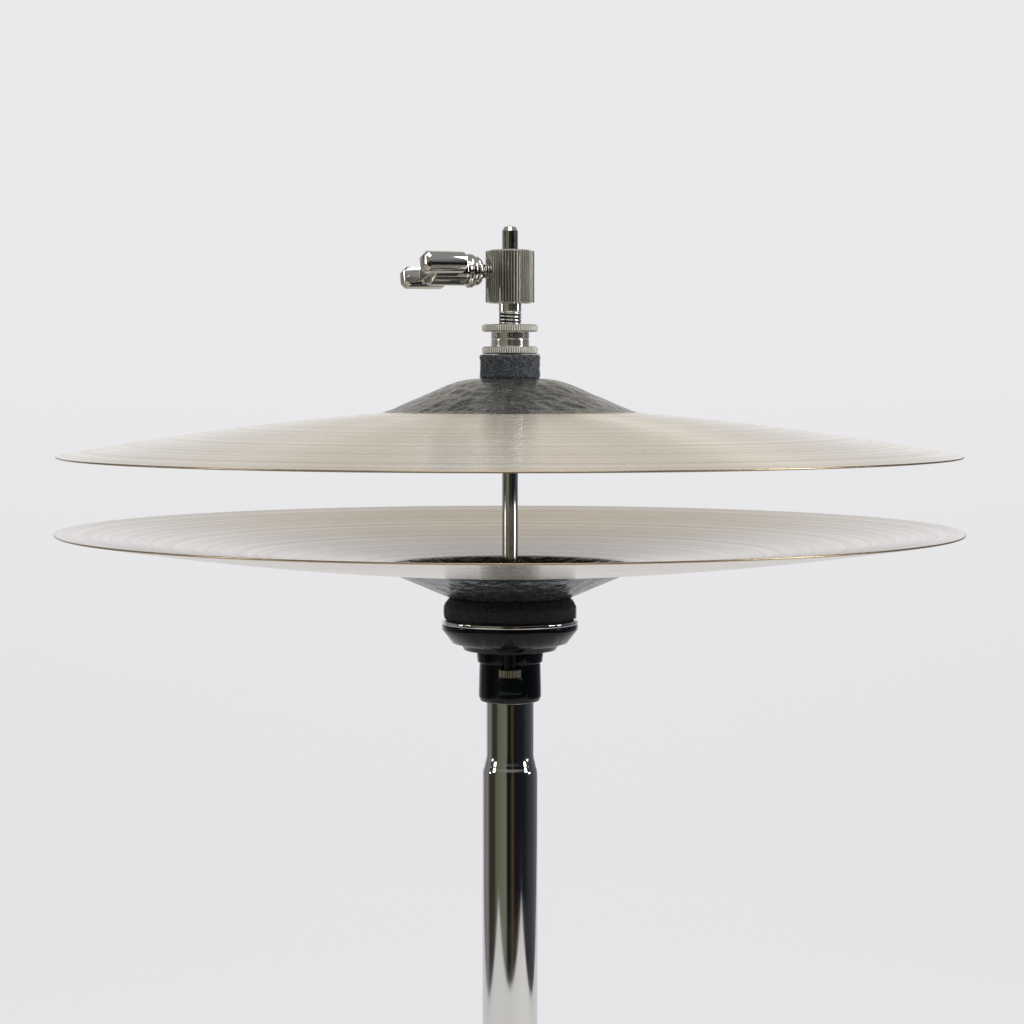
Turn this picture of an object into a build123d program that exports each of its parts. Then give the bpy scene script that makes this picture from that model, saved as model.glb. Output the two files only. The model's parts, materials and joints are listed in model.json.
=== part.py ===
"""A hi hat on its pedal stand: two cymbals, clutch, tilting seat, tubes, spring, pedal and folding legs.

Millimetres, +Z up. The origin is on the floor, on the axis of the tubes. -Y is the player's side.
"""

import os
from math import asin, atan2, degrees, hypot

from build123d import *

# ---------------------------------------------------------------- fits between pieces
FIT = 0.05  # radial clearance of a shaft that turns or slides in its hole
SEAT_FIT = 0.03  # radial clearance between pieces that are fixed together
FELT_GAP = 0.45  # room above and below the clutch felts, in which the cymbal rocks
REST_GAP = 0.2  # between a cymbal and the felt that it turns on

# ---------------------------------------------------------------- cymbals
CYMBAL_R = 177.8
BOTTOM_CYMBAL_R = 178.8
TOP_THICK = 1.4
BOTTOM_THICK = 1.6
CYMBAL_HOLE_R = 6.0
BELL_FLAT_R = 11.8
BELL_SHOULDER = (25.2, 2.8)  # radius, drop below the bell's flat top
BELL_FOOT = (50.1, 13.5)
TOP_RIM_DROP = 30.0  # from the bell's flat top to the rim, on the outer face
BOTTOM_RIM_DROP = 28.8
BOW_CROWN = 1.5  # how far the bow's arc rises above its chord
HAT_GAP = 27.6  # between the two rims with the pedal up
CLOSED_GAP = 0.5  # between the two rims with the pedal down

# ---------------------------------------------------------------- seat and tilter
SEAT_Z = 800.0  # top of the seat cup
CUP_R = 27.1
CUP_BAND = 2.3
CUP_TAPER = (23.0, 5.4)  # lower radius and height of the cup's tapered band
CUP_FOOT = (19.35, 18.3, 1.9)  # upper radius, lower radius and height of the cup's foot
CUP_BORE_R = 6.35
WASHER_R = 27.3
WASHER_THICK = 1.4
SEAT_FELT_R = 26.25
SEAT_FELT_THICK = 6.4  # under the flat of the bell
SLEEVE_GAP = 0.3  # between the cup and the sleeve that carries it
SLEEVE_TOP_R = 13.4
SLEEVE_COLLAR = (13.0, 4.4)
SLEEVE_R = (12.2, 12.5)
SLEEVE_BODY = 16.3
SLEEVE_ROUND = 2.5
SHELF = (9.8, 6.0)  # width and height of the shelf that holds the tilt wheel
SHELF_RISE = 5.2  # from the sleeve's foot to the shelf
TILT_SCREW_R = 2.25
TILT_SCREW_Y = -14.8
TILT_WHEEL = (4.3, 3.6)
POCKET = (11.8, 8.3, 9.0)  # width, height and depth of the shield over the tilt screw
PIVOT_Y = 15.9
PIVOT_R = 1.5
TILT_MAX = 4.0  # degrees

# ---------------------------------------------------------------- tubes
UPPER_TUBE_R = 11.1
UPPER_NECK_R = 9.525
UPPER_WALL = 1.25
SWAGE_Z = (739.2, 746.7)
UPPER_TUBE_FOOT_Z = 420.0
LOWER_TUBE_R = 14.3
LOWER_WALL = 2.0
LOWER_TUBE_TOP_Z = 520.0

# ---------------------------------------------------------------- pull rod and clutch
ROD_R = 3.175
ROD_ABOVE_CLUTCH = 9.7
LOWER_ROD_R = 4.0
ROD_JOIN_Z = 321.0
COUPLER = (6.5, 30.0)
CLUTCH_R = 9.65
CLUTCH_LENGTH = 21.3
CLUTCH_NECK = 8.1  # bare thread between the barrel and the upper lock nut
SLEEVE_THREAD_R = 4.7
SLEEVE_IN_BARREL = 4.0
NUT_FLANGE = (11.05, 3.0)
NUT_BOSS = (7.9, 2.8)
NUT_GAP = 0.1
FELT_R = 11.75
UPPER_FELT_THICK = 9.0
LOWER_FELT_THICK = 8.0
BOTTOM_NUT = (10.0, 8.0)
ROCK_MAX = 2.0  # degrees
WING_DROP = 8.6  # screw axis below the barrel's top
WING_SCREW_R = 2.9
WING_AZIMUTH = 205.0
WING_BEAD = (6.7, 2.8)
WING_HUB = (5.9, 16.5)
WING_SPAN = 14.5
WING_BAR = (8.0, 15.0)  # thickness and length along the screw
WING_NOTCH = 14.0  # between the two wings, beyond the hub's end
WING_TURN = 15.0

# ---------------------------------------------------------------- clamp, memory lock
CLAMP_R = 20.0
CLAMP_HEIGHT = 34.0
CLAMP_LIP = 3.4
MEMORY_LOCK = (18.0, 18.0)
MEMORY_LOCK_Z = 604.0

# ---------------------------------------------------------------- spring
SPRING_R = 8.6
SPRING_WIRE_R = 1.25
SPRING_FOOT_Z = 182.0
SPRING_LENGTH = 110.0
SPRING_TURNS = 12
TENSION_RING = (23.0, 20.0)

# ---------------------------------------------------------------- base and legs
PAD_HEIGHT = 8.0
BASE_RING = (42.0, 58.0, 12.0)
BASE_MOUTH = 76.0  # opening in the ring, which the footboard enters
POST_X = (44.0, 56.0)
POST_DEPTH = 28.0
BRIDGE_Z = (150.0, 170.0)
TUBE_SOCKET = 15.0
LEG_REACH = 345.0
LEG_PIVOT = (66.0, 26.0)
LEG_WIDTH = 12.0
LEG_DEPTH = 10.0
LEG_EYE_R = 8.5
LEG_BOLT_R = 3.0
LEG_AZIMUTHS = {"left": 210.0, "right": 330.0, "rear": 90.0}
LEG_TIP = (26.0, 17.0, 20.0)  # length, width and height of a rubber tip

# ---------------------------------------------------------------- pedal
HEEL_Y = -289.33
HEEL_Z = 22.0
TOE_PIN = (-1.33, 66.0)
PIN_R = 2.4
CHAIN_PITCH = 14.0
CHAIN_LINKS = 3
CHAIN_PLATE = 1.4
CHAIN_OPEN_PLAY = 0.7  # radial play where the chain hooks over the toe pin
BOARD_THICK = 5.0
BOARD_WIDTH = (64.0, 76.0)
HEEL_PIN_R = 3.0
HEEL_PLATE = (104.0, 6.0)
HEEL_PAD = 2.5
RADIUS_ROD = (40.0, 3.0)

# ---------------------------------------------------------------- heights that follow
FELT_TOP_Z = SEAT_Z + WASHER_THICK + SEAT_FELT_THICK
LOWER_BELL_Z = FELT_TOP_Z + REST_GAP
LOWER_RIM_Z = LOWER_BELL_Z + BOTTOM_RIM_DROP + BOTTOM_THICK
UPPER_BELL_Z = LOWER_RIM_Z + HAT_GAP + TOP_THICK + TOP_RIM_DROP
UPPER_FELT_Z = UPPER_BELL_Z + REST_GAP
LOWER_NUT_Z = UPPER_FELT_Z + UPPER_FELT_THICK + FELT_GAP
NUT_JOINT_Z = LOWER_NUT_Z + NUT_FLANGE[1] + NUT_BOSS[1]
UPPER_NUT_TOP_Z = NUT_JOINT_Z + NUT_GAP + NUT_BOSS[1] + NUT_FLANGE[1]
BARREL_Z = UPPER_NUT_TOP_Z + CLUTCH_NECK
BARREL_TOP_Z = BARREL_Z + CLUTCH_LENGTH
WING_Z = BARREL_TOP_Z - WING_DROP
ROD_TOP_Z = BARREL_TOP_Z + ROD_ABOVE_CLUTCH
LOWER_FELT_TOP_Z = UPPER_BELL_Z - TOP_THICK - REST_GAP
BOTTOM_NUT_TOP_Z = LOWER_FELT_TOP_Z - LOWER_FELT_THICK - FELT_GAP
CUP_FOOT_Z = SEAT_Z - CUP_BAND - CUP_TAPER[1] - 1.0 - CUP_FOOT[2]
SLEEVE_TOP_Z = CUP_FOOT_Z - SLEEVE_GAP
SLEEVE_FOOT_Z = SLEEVE_TOP_Z - SLEEVE_COLLAR[1] - SLEEVE_BODY
PIVOT_Z = SLEEVE_TOP_Z - 2.1
SHELF_TOP_Z = SLEEVE_FOOT_Z + SHELF_RISE + SHELF[1]
YOKE_PIN_Z = TOE_PIN[1] + CHAIN_LINKS * CHAIN_PITCH
BOARD_ANGLE = degrees(atan2(TOE_PIN[1] - HEEL_Z, TOE_PIN[0] - HEEL_Y))
BASE_RING_TOP_Z = PAD_HEIGHT + BASE_RING[2]

UP = (Align.CENTER, Align.CENTER, Align.MIN)


# ---------------------------------------------------------------- shapes that repeat
def turned(*outline, radii=None):
    """Solid of revolution about Z from corners given as (radius, height), rounded where radii says so."""
    path = FilletPolyline(*outline, radius=radii, close=True) if radii else Polyline(*outline, close=True)
    return revolve(Plane.XZ * make_face(path), Axis.Z)


def post(radius, low, high):
    """Upright cylinder about Z."""
    return Pos(0, 0, low) * Cylinder(radius, high - low, align=UP)


def tube(inner, outer, low, high):
    """Upright tube about Z."""
    return post(outer, low, high) - post(inner, low - 1, high + 1)


def block(x_range, y_range, z_range):
    """Box between two corners."""
    size = [high - low for low, high in (x_range, y_range, z_range)]
    return Pos(x_range[0], y_range[0], z_range[0]) * Box(*size, align=(Align.MIN,) * 3)


def cross_pin(radius, half_length, y, z):
    """Pin along X, centred on the YZ plane."""
    return Pos(0, y, z) * Rot(0, 90, 0) * Cylinder(radius, 2 * half_length)


def save(**nodes):
    """Write each piece to its own file."""
    for name, shape in nodes.items():
        export_step(shape, f"parts/{name}.step")


# ---------------------------------------------------------------- cymbals
def cymbal(radius, rim_drop, thickness):
    """Domed disc, bell upwards, with the flat of its bell at z = 0."""
    hole = (CYMBAL_HOLE_R, 0)
    flat = (BELL_FLAT_R, 0)
    shoulder = (BELL_SHOULDER[0], -BELL_SHOULDER[1])
    foot = (BELL_FOOT[0], -BELL_FOOT[1])
    rim = (radius, -rim_drop)
    crown = ((foot[0] + rim[0]) / 2, (foot[1] + rim[1]) / 2 + BOW_CROWN)

    def skin(drop):
        def at(point):
            return (point[0], point[1] - drop)

        return [
            Line(at(hole), at(flat)),
            TangentArc(at(flat), at(shoulder), tangent=(1, 0)),
            Line(at(shoulder), at(foot)),
            ThreePointArc(at(foot), at(crown), at(rim)),
        ]

    edge = Line(rim, (rim[0], rim[1] - thickness))
    bore = Line(hole, (hole[0], -thickness))
    return revolve(Plane.XZ * make_face([*skin(0), *skin(thickness), edge, bore]), Axis.Z)


def make_cymbals():
    """The two cymbals, the lower one turned over on the seat felt."""
    lower = cymbal(BOTTOM_CYMBAL_R, BOTTOM_RIM_DROP, BOTTOM_THICK)
    save(
        top_cymbal=Pos(0, 0, UPPER_BELL_Z) * cymbal(CYMBAL_R, TOP_RIM_DROP, TOP_THICK),
        bottom_cymbal=Pos(0, 0, LOWER_BELL_Z) * Rot(180, 0, 0) * lower,
    )


# ---------------------------------------------------------------- clutch
def wing_screw(shank_from, bead_from):
    """Thumb screw along +X: shank, two beads, barrel hub and two crosswise wings turned about the shank."""
    bead_r, bead_length = WING_BEAD
    hub_r, hub_length = WING_HUB
    hub_from = bead_from + 2 * bead_length
    turned_parts = turned(
        (0, shank_from),
        (WING_SCREW_R, shank_from),
        (WING_SCREW_R, bead_from),
        (bead_r, bead_from + 0.8),
        (bead_r, bead_from + bead_length - 0.6),
        (bead_r - 1.2, bead_from + bead_length),
        (bead_r - 0.8, hub_from - 0.6),
        (hub_r, hub_from),
        (hub_r, hub_from + hub_length),
        (0, hub_from + hub_length),
    )
    thick, length = WING_BAR
    wing_from = hub_from + hub_length - length / 2
    wing = Pos(0, 0, wing_from) * Box(2 * WING_SPAN, thick, length, align=UP)
    wing = chamfer(wing.edges().filter_by(Axis.X), 1.6)
    wing = chamfer(wing.faces().filter_by(Axis.X).edges(), 1.2)
    wing -= Pos(0, 0, hub_from + hub_length) * Box(WING_NOTCH, thick + 1, length, align=UP)
    return Rot(0, 90, 0) * Rot(0, 0, 90 + WING_TURN) * (turned_parts + wing)


def knurled_nut(flange_low):
    """Lock nut, flange down when flange_low is true; its lowest face is at z = 0."""
    flange_r, flange_h = NUT_FLANGE
    boss_r, boss_h = NUT_BOSS
    bore = SLEEVE_THREAD_R + FIT
    nut = turned(
        (bore, 0),
        (flange_r - 0.5, 0),
        (flange_r, 0.6),
        (flange_r, flange_h - 0.6),
        (flange_r - 0.5, flange_h),
        (boss_r, flange_h),
        (boss_r, flange_h + boss_h),
        (bore, flange_h + boss_h),
    )
    return nut if flange_low else Pos(0, 0, flange_h + boss_h) * Rot(180, 0, 0) * nut


def make_clutch():
    """Everything that hangs on the pull rod and carries the top cymbal."""
    wing_axis = Pos(0, 0, WING_Z) * Rot(0, 0, WING_AZIMUTH)
    wing_hole = wing_axis * Rot(0, 90, 0) * Cylinder(WING_SCREW_R + FIT, 30, align=UP)
    barrel = turned(
        (ROD_R + FIT, BARREL_Z),
        (CLUTCH_R - 0.8, BARREL_Z),
        (CLUTCH_R, BARREL_Z + 0.8),
        (CLUTCH_R, BARREL_TOP_Z - 0.8),
        (CLUTCH_R - 0.8, BARREL_TOP_Z),
        (ROD_R + FIT, BARREL_TOP_Z),
    )
    sleeve_top = BARREL_Z + SLEEVE_IN_BARREL
    barrel -= post(SLEEVE_THREAD_R, BARREL_Z - 1, sleeve_top)
    barrel -= wing_hole
    sleeve_foot = BOTTOM_NUT_TOP_Z - BOTTOM_NUT[1] - 1.0
    screw = wing_screw(ROD_R + 0.1, CLUTCH_R + 3.75)
    nut_r, nut_h = BOTTOM_NUT
    bottom_nut = turned(
        (SLEEVE_THREAD_R + FIT, BOTTOM_NUT_TOP_Z - nut_h),
        (nut_r - 2.4, BOTTOM_NUT_TOP_Z - nut_h),
        (nut_r - 2.4, BOTTOM_NUT_TOP_Z - nut_h + 3),
        (nut_r, BOTTOM_NUT_TOP_Z - nut_h + 3.6),
        (nut_r, BOTTOM_NUT_TOP_Z - 0.6),
        (nut_r - 0.6, BOTTOM_NUT_TOP_Z),
        (SLEEVE_THREAD_R + FIT, BOTTOM_NUT_TOP_Z),
    )
    felt_bore = SLEEVE_THREAD_R + 0.6
    save(
        clutch_barrel=barrel,
        clutch_sleeve=tube(ROD_R + FIT, SLEEVE_THREAD_R, sleeve_foot, sleeve_top),
        clutch_wing_screw=wing_axis * screw,
        upper_lock_nut=Pos(0, 0, NUT_JOINT_Z + NUT_GAP) * knurled_nut(False),
        lower_lock_nut=Pos(0, 0, LOWER_NUT_Z) * knurled_nut(True),
        clutch_bottom_nut=bottom_nut,
        clutch_upper_felt=tube(felt_bore, FELT_R, UPPER_FELT_Z, UPPER_FELT_Z + UPPER_FELT_THICK),
        clutch_lower_felt=tube(felt_bore, FELT_R, LOWER_FELT_TOP_Z - LOWER_FELT_THICK, LOWER_FELT_TOP_Z),
    )


# ---------------------------------------------------------------- seat and tilter
def make_seat():
    """Cup, washer and felt under the bottom cymbal, and the sleeve, screw and wheel that tilt them."""
    band_z = SEAT_Z - CUP_BAND
    taper_z = band_z - CUP_TAPER[1]
    step_z = taper_z - 1.0
    cup = turned(
        (CUP_BORE_R, CUP_FOOT_Z),
        (CUP_FOOT[1], CUP_FOOT_Z),
        (CUP_FOOT[0], step_z),
        (CUP_TAPER[0], taper_z),
        (CUP_R, band_z),
        (CUP_R, SEAT_Z - 0.4),
        (CUP_R - 0.4, SEAT_Z),
        (CUP_BORE_R, SEAT_Z),
    )
    width, height, depth = POCKET
    back = TILT_SCREW_Y + 3.0
    shield_foot = band_z - height
    shield = block((-width / 2, width / 2), (back - depth, back), (shield_foot, band_z))
    shield = chamfer(shield.edges().filter_by(Axis.Y).group_by(Axis.Z)[0], 2.0)
    ears = block((-8.3, 8.3), (PIVOT_Y - 3.5, PIVOT_Y + 3.5), (PIVOT_Z - 3.5, CUP_FOOT_Z + 0.5))
    lug_half = 5.0
    ears -= block((-lug_half - 0.3, lug_half + 0.3), (0, PIVOT_Y + 10), (PIVOT_Z - 10, CUP_FOOT_Z))
    screw_top = band_z - 3.0
    cup = cup + shield + ears
    cup -= Pos(0, TILT_SCREW_Y, 0) * post(TILT_SCREW_R + 1.0, shield_foot - 1, screw_top + 0.3)
    cup -= cross_pin(PIVOT_R + FIT, 10, PIVOT_Y, PIVOT_Z)

    dish_rise = LOWER_BELL_Z - REST_GAP
    lip = (BELL_SHOULDER[0], dish_rise + BELL_SHOULDER[1])
    felt_edge = Polyline(
        lip,
        (SEAT_FELT_R, lip[1] - 0.8),
        (SEAT_FELT_R, SEAT_Z + WASHER_THICK + 1.0),
        (SEAT_FELT_R - 0.8, SEAT_Z + WASHER_THICK),
        (CUP_BORE_R, SEAT_Z + WASHER_THICK),
        (CUP_BORE_R, dish_rise),
        (BELL_FLAT_R, dish_rise),
    )
    dish = TangentArc((BELL_FLAT_R, dish_rise), lip, tangent=(1, 0))
    felt = revolve(Plane.XZ * make_face([felt_edge, dish]), Axis.Z)

    neck_z = SLEEVE_TOP_Z - SLEEVE_COLLAR[1]
    tube_stop_z = neck_z - 2.4
    sleeve = turned(
        (CUP_BORE_R, SLEEVE_TOP_Z),
        (SLEEVE_TOP_R, SLEEVE_TOP_Z),
        (SLEEVE_COLLAR[0], neck_z),
        (SLEEVE_R[0], neck_z - 0.4),
        (SLEEVE_R[1], SLEEVE_FOOT_Z + SLEEVE_ROUND),
        (SLEEVE_R[1] - 0.7, SLEEVE_FOOT_Z + 0.7),
        (SLEEVE_R[1] - SLEEVE_ROUND, SLEEVE_FOOT_Z),
        (UPPER_NECK_R + SEAT_FIT, SLEEVE_FOOT_Z),
        (UPPER_NECK_R + SEAT_FIT, tube_stop_z),
        (CUP_BORE_R, tube_stop_z),
    )
    shelf_w, shelf_h = SHELF
    shelf_z = (SHELF_TOP_Z - shelf_h, SHELF_TOP_Z)
    shelf = block((-shelf_w / 2, shelf_w / 2), (TILT_SCREW_Y - 4.6, -10.6), shelf_z)
    shelf = chamfer(shelf.edges().filter_by(Axis.Y), 1.0)
    lug = block((-lug_half, lug_half), (11.0, PIVOT_Y + 3.5), (PIVOT_Z - 3.5, SLEEVE_TOP_Z - 0.2))
    sleeve = sleeve + shelf + lug
    sleeve -= Pos(0, TILT_SCREW_Y, 0) * post(TILT_SCREW_R + FIT, SHELF_TOP_Z - shelf_h - 1, SHELF_TOP_Z + 1)
    sleeve -= cross_pin(PIVOT_R, 10, PIVOT_Y, PIVOT_Z)
    wheel_r, wheel_h = TILT_WHEEL
    wheel_z = SHELF_TOP_Z + 0.1
    room = 0.4
    window = post(wheel_r + room, SHELF_TOP_Z, wheel_z + wheel_h + room)
    groove = post(TILT_SCREW_R + room, SHELF_TOP_Z, SLEEVE_TOP_Z + 1)
    sleeve -= Pos(0, TILT_SCREW_Y, 0) * (window + groove)
    wheel = tube(TILT_SCREW_R + FIT, wheel_r, wheel_z, wheel_z + wheel_h)
    save(
        seat_cup=cup,
        seat_washer=tube(CUP_BORE_R, WASHER_R, SEAT_Z, SEAT_Z + WASHER_THICK),
        seat_felt=felt,
        seat_sleeve=sleeve,
        seat_pivot_pin=cross_pin(PIVOT_R, 8.3, PIVOT_Y, PIVOT_Z),
        tilt_screw=Pos(0, TILT_SCREW_Y, 0) * post(TILT_SCREW_R, SHELF_TOP_Z - shelf_h, screw_top),
        tilt_wheel=Pos(0, TILT_SCREW_Y, 0) * wheel,
    )


# ---------------------------------------------------------------- tubes and height clamp
def make_tubes():
    """Telescoping tubes, the clamp that sets their height and the ring that remembers it."""
    low_z, high_z = SWAGE_Z
    top_z = SLEEVE_TOP_Z - SLEEVE_COLLAR[1] - 2.4
    upper = turned(
        (UPPER_TUBE_R - UPPER_WALL, UPPER_TUBE_FOOT_Z),
        (UPPER_TUBE_R, UPPER_TUBE_FOOT_Z),
        (UPPER_TUBE_R, low_z),
        (UPPER_NECK_R, high_z),
        (UPPER_NECK_R, top_z),
        (UPPER_NECK_R - UPPER_WALL, top_z),
        (UPPER_NECK_R - UPPER_WALL, high_z - 1),
        (UPPER_TUBE_R - UPPER_WALL, low_z - 1),
        radii=[0, 0, 5, 5, 0, 0, 3, 3],
    )
    lower_bore = LOWER_TUBE_R - LOWER_WALL
    lower = tube(lower_bore, LOWER_TUBE_R, BRIDGE_Z[1] - TUBE_SOCKET, LOWER_TUBE_TOP_Z)
    bush_r = UPPER_TUBE_R + FIT
    flange_top = LOWER_TUBE_TOP_Z + 3.0
    bush = turned(
        (bush_r, LOWER_TUBE_TOP_Z - 34),
        (lower_bore - SEAT_FIT, LOWER_TUBE_TOP_Z - 34),
        (lower_bore - SEAT_FIT, LOWER_TUBE_TOP_Z),
        (LOWER_TUBE_R, LOWER_TUBE_TOP_Z),
        (LOWER_TUBE_R, flange_top),
        (bush_r, flange_top),
    )
    clamp_z = flange_top - CLAMP_HEIGHT
    lip_top = flange_top + CLAMP_LIP
    housing = turned(
        (LOWER_TUBE_R + SEAT_FIT, clamp_z),
        (CLAMP_R - 1.5, clamp_z),
        (CLAMP_R, clamp_z + 1.5),
        (CLAMP_R, lip_top - 2.5),
        (CLAMP_R - 2.5, lip_top),
        (UPPER_TUBE_R + 0.3, lip_top),
        (UPPER_TUBE_R + 0.3, flange_top + 0.1),
        (LOWER_TUBE_R + SEAT_FIT, flange_top + 0.1),
    )
    bolt_z = clamp_z + CLAMP_HEIGHT / 2
    boss_r, boss_end = 9.0, CLAMP_R + 9.0
    bolt_axis = Pos(0, 0, bolt_z) * Rot(0, 90, 0)
    boss = bolt_axis * Pos(0, 0, LOWER_TUBE_R + 1) * Cylinder(boss_r, boss_end - LOWER_TUBE_R - 1, align=UP)
    bolt_hole = bolt_axis * Pos(0, 0, LOWER_TUBE_R) * Cylinder(WING_SCREW_R + FIT, 30, align=UP)
    housing = housing + boss - bolt_hole
    lock_r, lock_h = MEMORY_LOCK
    lock = turned(
        (bush_r, MEMORY_LOCK_Z),
        (lock_r - 1, MEMORY_LOCK_Z),
        (lock_r, MEMORY_LOCK_Z + 1),
        (lock_r, MEMORY_LOCK_Z + lock_h - 1),
        (lock_r - 1, MEMORY_LOCK_Z + lock_h),
        (bush_r, MEMORY_LOCK_Z + lock_h),
    )
    key_axis = Pos(0, 0, MEMORY_LOCK_Z + lock_h / 2) * Rot(0, 90, 0)
    lock -= key_axis * Cylinder(2.5 + FIT, 40, align=UP)
    key = key_axis * Pos(0, 0, UPPER_TUBE_R + 0.2) * Cylinder(2.5, lock_r - UPPER_TUBE_R + 1.8, align=UP)
    key += key_axis * Pos(0, 0, lock_r + 0.4) * Cylinder(4.5, 2.0, align=UP)
    key += key_axis * Pos(0, 0, lock_r + 2.4) * Box(5.0, 5.0, 7.0, align=UP)
    save(
        upper_tube=upper,
        lower_tube=lower,
        clamp_bush=bush,
        clamp_housing=housing,
        clamp_wing_bolt=Pos(0, 0, bolt_z) * wing_screw(LOWER_TUBE_R + 0.2, boss_end + 1.0),
        memory_lock=lock,
        memory_lock_key_screw=key,
    )


# ---------------------------------------------------------------- pull rod, spring and yoke
def make_rod():
    """The rod through the middle, with its coupler, spring, collar, spring seat and yoke."""
    tip = 2.2
    upper_rod = turned(
        (0, ROD_JOIN_Z + 0.2),
        (ROD_R, ROD_JOIN_Z + 0.2),
        (ROD_R, ROD_TOP_Z - tip),
        (ROD_R * 0.72, ROD_TOP_Z - tip * 0.28),
        (0, ROD_TOP_Z),
    )
    coupler_r, coupler_h = COUPLER
    coupler_low = ROD_JOIN_Z - coupler_h / 2
    coupler = Pos(0, 0, coupler_low) * extrude(RegularPolygon(coupler_r, 6), coupler_h)
    coupler -= post(LOWER_ROD_R, coupler_low - 1, ROD_JOIN_Z + 0.1)
    coupler -= post(ROD_R, ROD_JOIN_Z, coupler_low + coupler_h + 1)
    yoke_low, yoke_high = YOKE_PIN_Z - 7.0, YOKE_PIN_Z + 17.0
    slot_half = 2 * CHAIN_PLATE + 1.8
    yoke = block((-slot_half - 3, slot_half + 3), (-6.5, 6.5), (yoke_low, yoke_high))
    yoke = fillet(yoke.edges().filter_by(Axis.Z), 2.5)
    yoke -= block((-slot_half, slot_half), (-8, 8), (yoke_low - 1, YOKE_PIN_Z + 7.0))
    yoke -= cross_pin(PIN_R, 20, 0, YOKE_PIN_Z)
    yoke -= post(LOWER_ROD_R, yoke_high - 6, yoke_high + 1)
    tube_bore = LOWER_TUBE_R - LOWER_WALL
    spring_top = SPRING_FOOT_Z + SPRING_LENGTH
    collar = tube(LOWER_ROD_R, tube_bore - 0.4, spring_top + 0.1, spring_top + 9)
    seat = tube(LOWER_ROD_R + 0.1, tube_bore, SPRING_FOOT_Z - 6, SPRING_FOOT_Z - 0.1)
    pitch = (SPRING_LENGTH - 2 * SPRING_WIRE_R) / SPRING_TURNS
    coil = Helix(pitch, SPRING_LENGTH - 2 * SPRING_WIRE_R, SPRING_R)
    wire = sweep(Plane(origin=coil @ 0, z_dir=coil % 0) * Circle(SPRING_WIRE_R), path=coil, is_frenet=True)
    save(
        pull_rod_upper=upper_rod,
        pull_rod_lower=post(LOWER_ROD_R, yoke_high - 6, ROD_JOIN_Z),
        rod_coupler=coupler,
        rod_yoke=yoke,
        yoke_pin=cross_pin(PIN_R, slot_half + 3.4, 0, YOKE_PIN_Z),
        spring=Pos(0, 0, SPRING_FOOT_Z + SPRING_WIRE_R) * wire,
        spring_collar=collar,
        spring_seat=seat,
    )


def chain_plate(hole_top, hole_low, low_z, high_z, x_low):
    """Flat link plate from one pin hole to another, in a vertical plane."""
    middle, length = (low_z + high_z) / 2, high_z - low_z
    outline = SlotCenterToCenter(length, 8.0, rotation=90)
    outline -= Pos(0, length / 2) * Circle(hole_top)
    outline -= Pos(0, -length / 2) * Circle(hole_low)
    return Pos(x_low, 0, middle) * extrude(Plane.YZ * outline, CHAIN_PLATE)


def make_chain():
    """Drive chain from the rod yoke down to the toe pin, leaning by the toe pin's offset."""
    pin_z = [YOKE_PIN_Z - i * CHAIN_PITCH for i in range(CHAIN_LINKS + 1)]
    solids = []
    for link in range(CHAIN_LINKS):
        inner = link % 2 == 0
        x_low = 2.0 if inner else 2.0 + CHAIN_PLATE + 0.05
        top_hole = PIN_R + FIT
        low_hole = PIN_R + (CHAIN_OPEN_PLAY if link == CHAIN_LINKS - 1 else FIT)
        for side in (x_low, -x_low - CHAIN_PLATE):
            solids.append(chain_plate(top_hole, low_hole, pin_z[link + 1], pin_z[link], side))
    for z in pin_z[1:-1]:
        solids.append(cross_pin(PIN_R, 2 * CHAIN_PLATE + 2.6, 0, z))
        solids.append(Pos(0, 0, z) * Rot(0, 90, 0) * (Cylinder(4.0, 3.8) - Cylinder(PIN_R + FIT, 5)))
    lean = degrees(asin(TOE_PIN[0] / (CHAIN_LINKS * CHAIN_PITCH)))
    chain = Pos(0, 0, YOKE_PIN_Z) * Rot(lean, 0, 0) * Pos(0, 0, -YOKE_PIN_Z) * Compound(solids)
    save(drive_chain=chain)


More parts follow.
